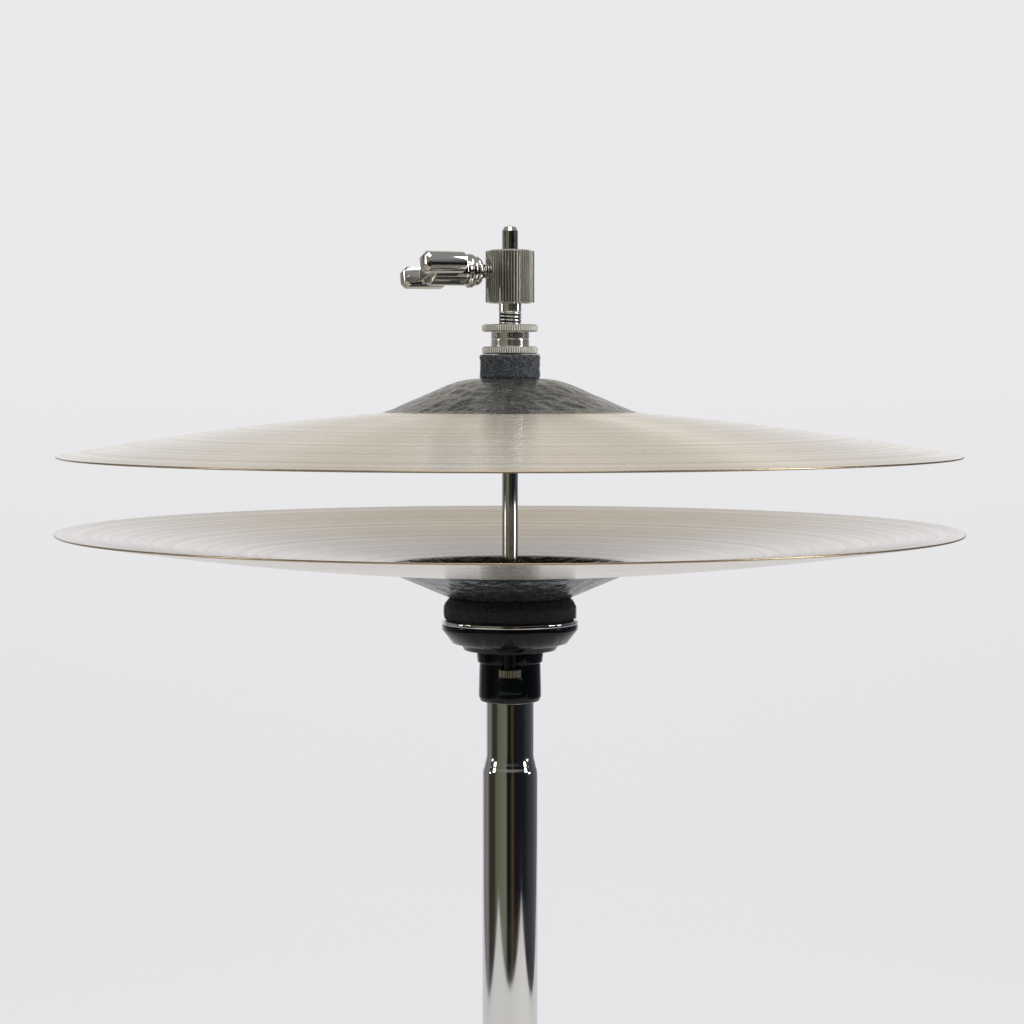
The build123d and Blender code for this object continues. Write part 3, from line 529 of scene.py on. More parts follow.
class Paint:
    """Hands out the material of each finish, built on its first use."""

    def __init__(self) -> None:
        """Start with the shared groups and no material."""
        self.groups = Groups()
        self.made: dict[Finish, bpy.types.Material] = {}

    def of(self, finish: Finish) -> bpy.types.Material:
        """Find or build the material of a finish.

        Args:
            finish: the finish.

        Returns:
            Its material.
        """
        if finish not in self.made:
            self.made[finish] = finish.value.material(self.groups)
        return self.made[finish]

    def dress(self, piece: bpy.types.Object, *finishes: Finish) -> None:
        """Give a piece its materials.

        Args:
            piece: the piece.
            *finishes: the finish of each slot, in order.
        """
        piece.data.materials.clear()
        for finish in finishes:
            piece.data.materials.append(self.of(finish))


# ------------------------------------------------------------------ meshes
def rounded(corners: Corners, steps: int = 5) -> Profile:
    """Round the corners of a closed outline.

    Args:
        corners: each corner as (x, y, radius).
        steps: spans in each rounded corner.

    Returns:
        The outline's points.
    """
    points: Profile = []
    count = len(corners)
    for index, (x, y, radius) in enumerate(corners):
        here = Vector((x, y))
        before = Vector(corners[index - 1][:2]) - here
        after = Vector(corners[(index + 1) % count][:2]) - here
        if radius <= 0 or before.length == 0 or after.length == 0:
            points.append((x, y))
            continue
        half = before.angle(after) / 2
        reach = min(radius / max(math.tan(half), 0.05), before.length * 0.48, after.length * 0.48)
        start, end = here + before.normalized() * reach, here + after.normalized() * reach
        for step in range(steps + 1):
            t = step / steps
            point = start * (1 - t) ** 2 + here * 2 * t * (1 - t) + end * t**2
            points.append((point.x, point.y))
    return points


def mesh_piece(name: str, points: np.ndarray, faces: list, crease: float = 35.0) -> bpy.types.Object:
    """Make a closed, outward-facing piece from points and faces.

    Args:
        name: the piece's name.
        points: vertex positions, one row each.
        faces: vertex numbers of each face.
        crease: edges that turn by more than this, in degrees, stay sharp.

    Returns:
        The new object, at the origin.
    """
    mesh = bpy.data.meshes.new(name)
    mesh.from_pydata(points.tolist(), [], faces)
    piece = bpy.data.objects.new(name, mesh)
    bpy.context.scene.collection.objects.link(piece)
    tidy_mesh(mesh, crease)
    return piece


def tidy_mesh(mesh: bpy.types.Mesh, crease: float) -> None:
    """Merge doubles, face a mesh outwards and shade it smooth up to a crease.

    Args:
        mesh: the mesh.
        crease: edges that turn by more than this, in degrees, stay sharp.
    """
    work = bmesh.new()
    work.from_mesh(mesh)
    bmesh.ops.remove_doubles(work, verts=work.verts, dist=1e-6)
    bmesh.ops.recalc_face_normals(work, faces=work.faces)
    work.to_mesh(mesh)
    work.free()
    mesh.shade_smooth()
    mesh.set_sharp_from_angle(angle=math.radians(crease))
    mesh.update()


def turned(name: str, outline: Profile, steps: int = 128, crease: float = 35.0) -> bpy.types.Object:
    """Turn a closed outline about Z.

    Args:
        name: the piece's name.
        outline: (radius, height) points.
        steps: spans round the axis.
        crease: edges that turn by more than this, in degrees, stay sharp.

    Returns:
        The turned piece.
    """
    angles = np.linspace(0, 2 * math.pi, steps, endpoint=False)
    ring = np.array(outline)
    count = len(ring)
    points = np.zeros((steps, count, 3))
    points[..., 0] = np.cos(angles)[:, None] * ring[:, 0]
    points[..., 1] = np.sin(angles)[:, None] * ring[:, 0]
    points[..., 2] = ring[:, 1]
    faces = []
    for a in range(steps):
        b = (a + 1) % steps
        for i in range(count):
            j = (i + 1) % count
            if ring[i, 0] < 1e-7 and ring[j, 0] < 1e-7:
                continue
            faces.append((a * count + i, a * count + j, b * count + j, b * count + i))
    return mesh_piece(name, points.reshape(-1, 3), faces, crease)


def lofted(name: str, sections: list[np.ndarray], crease: float = 25.0) -> bpy.types.Object:
    """Join closed sections, each with as many points, into one closed solid.

    Args:
        name: the piece's name.
        sections: the points of each section, one row each.
        crease: edges that turn by more than this, in degrees, stay sharp.

    Returns:
        The solid.
    """
    count, last = len(sections[0]), len(sections) - 1
    first_cap = tuple(range(count))
    last_cap = tuple(range((last + 1) * count - 1, last * count - 1, -1))
    faces: list = [first_cap, last_cap]
    for low in range(last):
        for i in range(count):
            j = (i + 1) % count
            faces.append((low * count + i, low * count + j, (low + 1) * count + j, (low + 1) * count + i))
    return mesh_piece(name, np.concatenate(sections), faces, crease)


def joined(name: str, parts: list[bpy.types.Object]) -> bpy.types.Object:
    """Join pieces into the first of them.

    Args:
        name: the joined piece's name.
        parts: the pieces.

    Returns:
        The joined piece.
    """
    chosen = {"active_object": parts[0], "selected_editable_objects": parts, "selected_objects": parts}
    with bpy.context.temp_override(**chosen):
        bpy.ops.object.join()
    parts[0].name = parts[0].data.name = name
    return parts[0]


def placed(piece: bpy.types.Object, matrix: Matrix) -> bpy.types.Object:
    """Move a piece's mesh, so that its object stays at the origin.

    Args:
        piece: the piece.
        matrix: the move.

    Returns:
        The piece.
    """
    piece.data.transform(matrix)
    piece.data.update()
    return piece


def settled(piece: bpy.types.Object) -> bpy.types.Object:
    """Turn a piece's modifiers into plain mesh.

    Args:
        piece: the piece.

    Returns:
        The piece, with no modifier left.
    """
    graph = bpy.context.evaluated_depsgraph_get()
    graph.update()
    result = bpy.data.meshes.new_from_object(piece.evaluated_get(graph), depsgraph=graph)
    result.name = piece.data.name
    piece.modifiers.clear()
    piece.data = result
    return piece


def mark_second(piece: bpy.types.Object, test: Callable[[Vector], bool]) -> None:
    """Put some of a piece's faces in its second material slot.

    Args:
        piece: the piece.
        test: whether a face with this middle goes there.
    """
    for face in piece.data.polygons:
        face.material_index = int(test(face.center))


def stand_in(piece: bpy.types.Object, body: str, slot: str, *nodes: str) -> bpy.types.Object:
    """Let a piece take the place of CAD nodes.

    Args:
        piece: the piece.
        body: the body that it rides on.
        slot: its record slot; not used.
        *nodes: the CAD nodes that it replaces.

    Returns:
        The piece.
    """
    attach(piece, body)
    if nodes:
        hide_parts(*nodes)
    log.info("%s: %d faces on %s", piece.name, len(piece.data.polygons), body)
    return piece


# ------------------------------------------------------------------ geometry trees
class Maker:
    """A Geometry Nodes tree with named inputs, which is run on a piece and turned into plain mesh."""

    KINDS = {int: "NodeSocketInt", float: "NodeSocketFloat", bpy.types.Material: "NodeSocketMaterial"}

    def __init__(self, name: str, **inputs: type) -> None:
        """Start the tree.

        Args:
            name: the tree's name.
            **inputs: each input's name and type.
        """
        self.tree = bpy.data.node_groups.new(name, "GeometryNodeTree")
        interface = self.tree.interface
        interface.new_socket("Geometry", in_out="INPUT", socket_type="NodeSocketGeometry")
        self.keys = {
            key: interface.new_socket(key, in_out="INPUT", socket_type=self.KINDS[kind]).identifier
            for key, kind in inputs.items()
        }
        interface.new_socket("Geometry", in_out="OUTPUT", socket_type="NodeSocketGeometry")
        self.graph = Graph(self.tree)
        self.given = self.graph.add("NodeGroupInput").outputs
        self.result = self.graph.add("NodeGroupOutput").inputs["Geometry"]

    def set_material(self, geometry: Socket, material: Socket, where: Socket | None = None) -> Socket:
        """Add a Set Material node.

        Args:
            geometry: the geometry.
            material: its material.
            where: the faces that take it, or None for all.

        Returns:
            The geometry.
        """
        inputs = {"Geometry": geometry, "Material": material}
        if where is not None:
            inputs["Selection"] = where
        return self.graph.add("GeometryNodeSetMaterial", inputs).outputs[0]

    def add_to_piece(self, extra: Socket, material: Socket) -> None:
        """End the tree: realise new geometry, set its material and join it to the given piece.

        Args:
            extra: the new geometry.
            material: its material.
        """
        real = self.graph.add("GeometryNodeRealizeInstances", {"Geometry": extra}).outputs[0]
        node = self.graph.add("GeometryNodeJoinGeometry")
        for part in (self.given["Geometry"], self.set_material(real, material)):
            self.graph.link(part, node.inputs[0])
        self.graph.link(node.outputs[0], self.result)

    def run(self, piece: bpy.types.Object, **values: object) -> bpy.types.Object:
        """Run the tree on a piece and keep the result as plain mesh.

        Args:
            piece: the piece.
            **values: the value of each input.

        Returns:
            The piece.
        """
        modifier = piece.modifiers.new(self.tree.name, "NODES")
        modifier.node_group = self.tree
        for key, value in values.items():
            modifier[self.keys[key]] = value
        return settled(piece)


def build_knurl_maker() -> Maker:
    """Build straight knurling: round ridges stood side by side on a barrel.

    Returns:
        The maker.
    """
    sides = 8
    maker = Maker(
        "knurl", Count=int, Radius=float, Tooth=float, Middle=float, Height=float, Metal=bpy.types.Material
    )
    graph, given = maker.graph, maker.given
    circle = graph.add("GeometryNodeMeshCircle", {"Vertices": given["Count"], "Radius": given["Radius"]})
    ridge = {"Vertices": sides, "Radius": given["Tooth"], "Depth": given["Height"]}
    tooth = graph.add("GeometryNodeMeshCylinder", ridge).outputs[0]
    place = graph.add("GeometryNodeInputPosition").outputs[0]
    turn = graph.add("FunctionNodeAlignRotationToVector", {"Vector": place}, axis="X").outputs[0]
    stood = graph.add("GeometryNodeInstanceOnPoints", {0: circle.outputs[0], 2: tooth, 5: turn}).outputs[0]
    lift = graph.add("ShaderNodeCombineXYZ", {"Z": given["Middle"]}).outputs[0]
    lifted = graph.add("GeometryNodeTransform", {"Geometry": stood, "Translation": lift}).outputs[0]
    maker.add_to_piece(lifted, given["Metal"])
    return maker


def build_thread_maker() -> Maker:
    """Build a screw thread: a round-backed rib that follows a helix on its core.

    Returns:
        The maker.
    """
    maker = Maker(
        "thread", Turns=float, Radius=float, Rib=float, Foot=float, Height=float, Metal=bpy.types.Material
    )
    graph, given = maker.graph, maker.given
    path = {
        "Resolution": 36,
        "Rotations": given["Turns"],
        "Start Radius": given["Radius"],
        "End Radius": given["Radius"],
        "Height": given["Height"],
    }
    spiral = graph.add("GeometryNodeCurveSpiral", path).outputs[0]
    section = graph.add("GeometryNodeCurvePrimitiveCircle", {"Resolution": 6, "Radius": given["Rib"]})
    swept = {"Curve": spiral, "Profile Curve": section.outputs[0], "Fill Caps": True}
    rib = graph.add("GeometryNodeCurveToMesh", swept).outputs[0]
    lift = graph.add("ShaderNodeCombineXYZ", {"Z": given["Foot"]}).outputs[0]
    lifted = graph.add("GeometryNodeTransform", {"Geometry": rib, "Translation": lift}).outputs[0]
    maker.add_to_piece(lifted, given["Metal"])
    return maker


def build_fibre_maker() -> Maker:
    """Build felt nap: short bent fibres that lie over a felt's sides.

    Returns:
        The maker.
    """
    flat_limit, bend_share = 0.6, 0.35
    maker = Maker("nap", Density=float, Length=float, Thickness=float, Seed=int, Wool=bpy.types.Material)
    graph, given = maker.graph, maker.given
    normal = graph.add("GeometryNodeInputNormal").outputs[0]
    upright = graph.math("ABSOLUTE", graph.add("ShaderNodeSeparateXYZ", {0: normal}).outputs["Z"])
    spread = {
        "Mesh": given["Geometry"],
        "Density": given["Density"],
        "Seed": given["Seed"],
        "Selection": graph.math("LESS_THAN", upright, flat_limit),
    }
    points = graph.add("GeometryNodeDistributePointsOnFaces", spread)
    bend = graph.math("MULTIPLY", given["Length"], bend_share)
    half = graph.math("MULTIPLY", given["Length"], 0.5)
    middle = graph.add("ShaderNodeCombineXYZ", {"X": half, "Z": bend}).outputs[0]
    end = graph.add("ShaderNodeCombineXYZ", {"X": given["Length"]}).outputs[0]
    line = {"Resolution": 3, "Start": (0.0, 0.0, 0.0), "Middle": middle, "End": end}
    curve = graph.add("GeometryNodeCurveQuadraticBezier", line).outputs[0]
    section = graph.add("GeometryNodeCurvePrimitiveCircle", {"Resolution": 3, "Radius": given["Thickness"]})
    swept = {"Curve": curve, "Profile Curve": section.outputs[0], "Fill Caps": True}
    fibre = graph.add("GeometryNodeCurveToMesh", swept).outputs[0]
    swing = graph.add(
        "FunctionNodeRandomValue",
        {0: (-0.35, -0.25, -math.pi), 1: (0.35, 0.1, math.pi), "Seed": given["Seed"]},
        data_type="FLOAT_VECTOR",
    )
    turn = graph.add(
        "FunctionNodeRotateRotation",
        {"Rotation": points.outputs["Rotation"], "Rotate By": swing.outputs[0]},
        rotation_space="LOCAL",
    )
    size = graph.add("FunctionNodeRandomValue", {2: 0.45, 3: 1.2, "Seed": given["Seed"]}, data_type="FLOAT")
    strewn = graph.add(
        "GeometryNodeInstanceOnPoints",
        {0: points.outputs["Points"], 2: fibre, 5: turn.outputs[0], 6: size.outputs[1]},
    )
    maker.add_to_piece(strewn.outputs[0], given["Wool"])
    return maker


def build_cymbal_maker() -> Maker:
    """Build a cymbal's surface: rings cut to uneven depths over the bow, hammer marks over the bell.

    Returns:
        The maker.
    """
    foot_ease, mark_radius = 4.0 * MM, 0.55
    maker = Maker(
        "lathe_and_hammer",
        Bell_Radius=float,
        Rim_Radius=float,
        Pitch=float,
        Cut=float,
        Dent=float,
        Dent_Scale=float,
        Inward=float,
        Seed=int,
        Bow=bpy.types.Material,
        Bell=bpy.types.Material,
        Rim=bpy.types.Material,
    )
    graph, given = maker.graph, maker.given
    place = graph.add("GeometryNodeInputPosition").outputs[0]
    radius = graph.axis_distance(place)
    ring = graph.math("FLOOR", graph.math("DIVIDE", radius, given["Pitch"]))
    chance = {2: -1.0, 3: 1.0, "ID": ring, "Seed": given["Seed"]}
    depth = graph.add("FunctionNodeRandomValue", chance, data_type="FLOAT").outputs[1]
    past_bell = graph.math("GREATER_THAN", radius, given["Bell_Radius"])
    before_rim = graph.math("LESS_THAN", radius, given["Rim_Radius"])
    on_bow = graph.math("MULTIPLY", past_bell, before_rim)
    cut = graph.math("MULTIPLY", graph.math("MULTIPLY", depth, given["Cut"]), on_bow)
    dents = graph.add("ShaderNodeTexVoronoi", {"Vector": place, "Scale": given["Dent_Scale"]}, feature="F1")
    on_bell = graph.span(graph.math("SUBTRACT", given["Bell_Radius"], radius), 0.0, foot_ease, 0.0, 1.0)
    hollow = graph.math("MAXIMUM", graph.math("SUBTRACT", mark_radius, dents.outputs["Distance"]), 0.0)
    sunk = graph.math("MULTIPLY", graph.math("MULTIPLY", hollow, given["Dent"]), on_bell)
    inward = graph.math("MULTIPLY", sunk, given["Inward"])
    down = graph.add("ShaderNodeCombineXYZ", {"Z": inward}).outputs[0]
    normal = graph.add("GeometryNodeInputNormal").outputs[0]
    grooved = graph.add("ShaderNodeVectorMath", {0: normal, "Scale": cut}, operation="SCALE").outputs[0]
    offset = graph.add("ShaderNodeVectorMath", {0: grooved, 1: down}, operation="ADD").outputs[0]
    moved = graph.add("GeometryNodeSetPosition", {"Geometry": given["Geometry"], "Offset": offset})
    real = graph.add("GeometryNodeRealizeInstances", {"Geometry": moved.outputs[0]}).outputs[0]
    real = maker.set_material(real, given["Bow"])
    on_cup = graph.math("LESS_THAN", radius, given["Bell_Radius"])
    real = maker.set_material(real, given["Bell"], on_cup)
    on_rim = graph.math("GREATER_THAN", radius, given["Rim_Radius"])
    graph.link(maker.set_material(real, given["Rim"], on_rim), maker.result)
    return maker


def node_radius(node: str) -> float:
    """Measure how far a CAD node reaches from the tubes' axis.

    Args:
        node: the CAD node.

    Returns:
        The largest distance along X or Y.
    """
    low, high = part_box(node)
    return max(-low.x, high.x, -low.y, high.y)


class Workshop:
    """The finishes and the geometry trees that every sub-assembly shares."""

    def __init__(self) -> None:
        """Build the trees."""
        self.paint = Paint()
        self.knurl = build_knurl_maker()
        self.thread = build_thread_maker()
        self.nap = build_fibre_maker()
        self.cymbal = build_cymbal_maker()


# ------------------------------------------------------------------ sub-assemblies
@dataclass
class Cymbal:
    """One cymbal: a hammered bell and a lathed bow, spun from its section."""

    node: str
    bell_up: bool
    thickness: float
    seed: int
    bow_finish: Finish = Finish.BOW
    bell_finish: Finish = Finish.BELL
    hole_radius: float = 6.0 * MM
    flat_radius: float = 11.8 * MM
    shoulder: tuple[float, float] = (25.2 * MM, 2.8 * MM)
    foot: tuple[float, float] = (50.1 * MM, 13.5 * MM)
    crown: float = 1.5 * MM
    blend: float = 2.5 * MM
    around: int = 240
    ring_pitch: float = 1.0 * MM
    edge_thickness: float = 0.7 * MM
    taper: float = 14.0 * MM
    ring_cut: float = 0.014 * MM
    dent_depth: float = 0.8 * MM
    dent_scale: float = 150.0
    rim_width: float = 0.4 * MM

    def drop(self, radius: np.ndarray, rim: tuple[float, float]) -> np.ndarray:
        """How far the outer face lies below the bell's flat top.

        Args:
            radius: distances from the axis.
            rim: the rim's radius and drop.

        Returns:
            The drop at each radius.
        """
        (r1, d1), (r2, d2), (r3, d3) = self.shoulder, self.foot, rim
        curve = d1 * ((radius - self.flat_radius) / (r1 - self.flat_radius)) ** 2
        cone = d1 + (d2 - d1) * (radius - r1) / (r2 - r1)
        share = (radius - r2) / (r3 - r2)
        bow = d2 + (d3 - d2) * share - 4 * self.crown * share * (1 - share)
        zones = [radius < self.flat_radius, radius < r1, radius < r2]
        return np.select(zones, [0 * radius, curve, cone], bow)

    def smooth_drop(self, radius: np.ndarray, rim: tuple[float, float]) -> np.ndarray:
        """Ease the bell's foot into the bow.

        Args:
            radius: distances from the axis.
            rim: the rim's radius and drop.

        Returns:
            The eased drop at each radius.
        """
        reach = np.minimum(self.blend, np.minimum(radius - self.hole_radius, rim[0] - radius))
        shifts = np.linspace(-1, 1, 9)
        return sum(self.drop(radius + shift * reach, rim) for shift in shifts) / len(shifts)

    def build(self, shop: Workshop) -> bpy.types.Object:
        """Make the cymbal and put it in its CAD node's place.

        Args:
            shop: the finishes and trees.

        Returns:
            The cymbal.
        """
        low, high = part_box(self.node)
        rim_radius = node_radius(self.node)
        rim = (rim_radius, high.z - low.z - self.thickness)
        bell = np.arange(self.hole_radius + 0.2 * MM, self.foot[0], 1.1 * MM)
        bow = np.arange(self.foot[0] + 0.5 * MM, rim_radius - 1.6 * MM, self.ring_pitch)
        edge = np.array([rim_radius - 1.2 * MM, rim_radius - 0.7 * MM])
        radii = np.concatenate([[self.hole_radius], bell, bow, edge, [rim_radius - 0.25 * MM]])
        outer = np.stack([radii, -self.smooth_drop(radii, rim)], axis=1)
        wall = self.edge_thickness
        thinning = np.clip((rim_radius - radii) / self.taper, 0, 1)
        inner = outer - np.stack([0 * radii, wall + (self.thickness - wall) * thinning], axis=1)
        lip = [(rim_radius, outer[-1, 1] - 0.3 * wall), (rim_radius, outer[-1, 1] - 0.7 * wall)]
        outline = [*map(tuple, outer), *lip, *map(tuple, inner[::-1])]
        piece = turned(f"{self.node}_bronze", outline, steps=self.around, crease=60)
        flip = Matrix.Identity(4) if self.bell_up else Matrix.Rotation(math.pi, 4, "X")
        placed(piece, Matrix.Translation((0, 0, high.z if self.bell_up else low.z)) @ flip)
        paint = shop.paint
        shop.cymbal.run(
            piece,
            Bell_Radius=self.foot[0],
            Rim_Radius=rim_radius - self.rim_width,
            Pitch=self.ring_pitch,
            Cut=self.ring_cut,
            Dent=self.dent_depth,
            Dent_Scale=self.dent_scale,
            Inward=-1.0 if self.bell_up else 1.0,
            Seed=self.seed,
            Bow=paint.of(self.bow_finish),
            Bell=paint.of(self.bell_finish),
            Rim=paint.of(Finish.RIM),
        )
        return stand_in(piece, self.node, "bronze", self.node)


@dataclass
class WingScrew:
    """A thumb screw: thread, two beads, barrel hub and a pair of faceted wings."""

    name: str
    node: str
    body: str
    azimuth: float
    shank_from: float
    bead_from: float
    height: float
    roll: float = 15.0
    screw_radius: float = 2.9 * MM
    hub_radius: float = 5.9 * MM
    bead_radius: float = 6.7 * MM
    bead_length: float = 2.8 * MM
    hub_length: float = 16.5 * MM
    wing_length: float = 15.0 * MM
    wing_half_span: float = 14.5 * MM
    wing_half_thick: float = 4.0 * MM
    wing_notch: float = 7.0 * MM
    thread_pitch: float = 1.05 * MM
    rib: float = 0.33 * MM
    thread_depth: float = 0.36 * MM

    def wings(self, hub_end: float) -> bpy.types.Object:
        """Make the two wings as one bar, notched between them beyond the hub's end.

        Args:
            hub_end: where the hub ends, along the screw.

        Returns:
            The bar.
        """
        inner, outer = hub_end - self.wing_length * 0.76, hub_end + self.wing_length * 0.44
        span, thick = self.wing_half_span, self.wing_half_thick
        notch = self.wing_notch / span
        sections = []
        stations = [
            (1.0, outer - 1.9 * MM, 0.34), (0.93, outer - 0.6 * MM, 0.80), (0.84, outer, 1.0),
            (notch + 0.10, outer, 1.0), (notch + 0.02, outer - 0.8 * MM, 0.92),
            (notch, hub_end + 0.4 * MM, 0.9),
        ]
        ends = [*((-place, x1, share) for place, x1, share in stations), *reversed(stations)]
        for place, x1, share in ends:
            x0, z1 = inner + 0.4 * MM, thick * share
            nip, slope = 0.8 * MM * share, 1.7 * MM * share
            ring = [(x0 + nip, -z1), (x1 - slope, -z1), (x1, -z1 + slope), (x1, z1 - slope),
                    (x1 - slope, z1), (x0 + nip, z1), (x0, z1 - nip), (x0, -z1 + nip)]
            sections.append(np.array([(x, place * span, z) for x, z in ring]))
        bar = lofted("wing_bar", sections, crease=20)
        bevel = bar.modifiers.new("soften", "BEVEL")
        bevel.width, bevel.segments, bevel.angle_limit = 0.3 * MM, 2, math.radians(18)
        settled(bar)
        tidy_mesh(bar.data, 50)
        return bar

    def build(self, shop: Workshop) -> bpy.types.Object:
        """Make the screw and put it in its CAD node's place.

        Args:
            shop: the finishes and trees.

        Returns:
            The screw.
        """
        bead, length, hub = self.bead_radius, self.bead_length, self.hub_radius
        tip, first_bead = self.shank_from, self.bead_from
        hub_from = first_bead + 2 * length
        hub_end = hub_from + self.hub_length
        core = self.screw_radius - self.thread_depth
        corners = [
            (0, tip, 0), (core - 0.5 * MM, tip, 0), (core, tip + 0.6 * MM, 0), (core, first_bead, 0),
            (bead - 1.6 * MM, first_bead + 0.1 * MM, 0.9 * MM),
            (bead - 0.7 * MM, first_bead + length / 2, 1.2 * MM),
            (bead - 2.0 * MM, first_bead + length, 0.3 * MM),
            (bead, first_bead + length * 1.15, 0.7 * MM), (bead, hub_from - 0.6 * MM, 0.6 * MM),
            (hub - 0.6 * MM, hub_from + 0.2 * MM, 0.3 * MM), (hub, hub_from + 1.6 * MM, 0.8 * MM),
            (hub, hub_end, 1.5 * MM), (0, hub_end, 0),
        ]
        shaft = turned("shaft", rounded(corners), steps=48, crease=32)
        # The core under the thread takes the dark groove finish: painted shade between the thread's turns.
        shop.paint.dress(shaft, Finish.CHROME, Finish.SHADED_GROOVE)
        mark_second(shaft, lambda middle: middle.z < first_bead - 0.1 * MM)
        shop.thread.run(
            shaft,
            Turns=(first_bead - tip) / self.thread_pitch,
            Radius=core,
            Rib=self.rib,
            Foot=tip,
            Height=first_bead - tip,
            Metal=shop.paint.of(Finish.CHROME),
        )
        placed(shaft, Matrix.Rotation(math.pi / 2, 4, "Y"))
        bar = placed(self.wings(hub_end), Matrix.Rotation(math.radians(self.roll), 4, "X"))
        shop.paint.dress(bar, Finish.CHROME)
        piece = joined(self.name, [shaft, bar])
        turn = Matrix.Rotation(math.radians(self.azimuth), 4, "Z")
        placed(piece, Matrix.Translation((0, 0, self.height)) @ turn)
        return stand_in(piece, self.body, "chrome", self.node)


@dataclass(frozen=True)
class Knurling:
    """A band of knurling round a turned piece: its heights, its ridges, the ridges' finish and a dark gap
    finish, painted shade between the ridges.
    """

    low: float
    high: float
    teeth: int
    tooth: float
    ridge: Finish = Finish.NUT_KNURL
    # The gap finish is painted shade in the grooves.
    gap: Finish = Finish.SHADED_NUT_GROOVE

    def covers(self, middle: Vector, radius: float) -> bool:
        """Tell whether a face lies in the band's grooves, which take the painted shade.

        Args:
            middle: the face's middle.
            radius: the piece's radius over its ridges.

        Returns:
            True in the grooves.
        """
        in_band = self.low - 0.3 * MM < middle.z < self.high + 0.3 * MM
        return in_band and math.hypot(middle.x, middle.y) > radius - self.tooth - 0.25 * MM


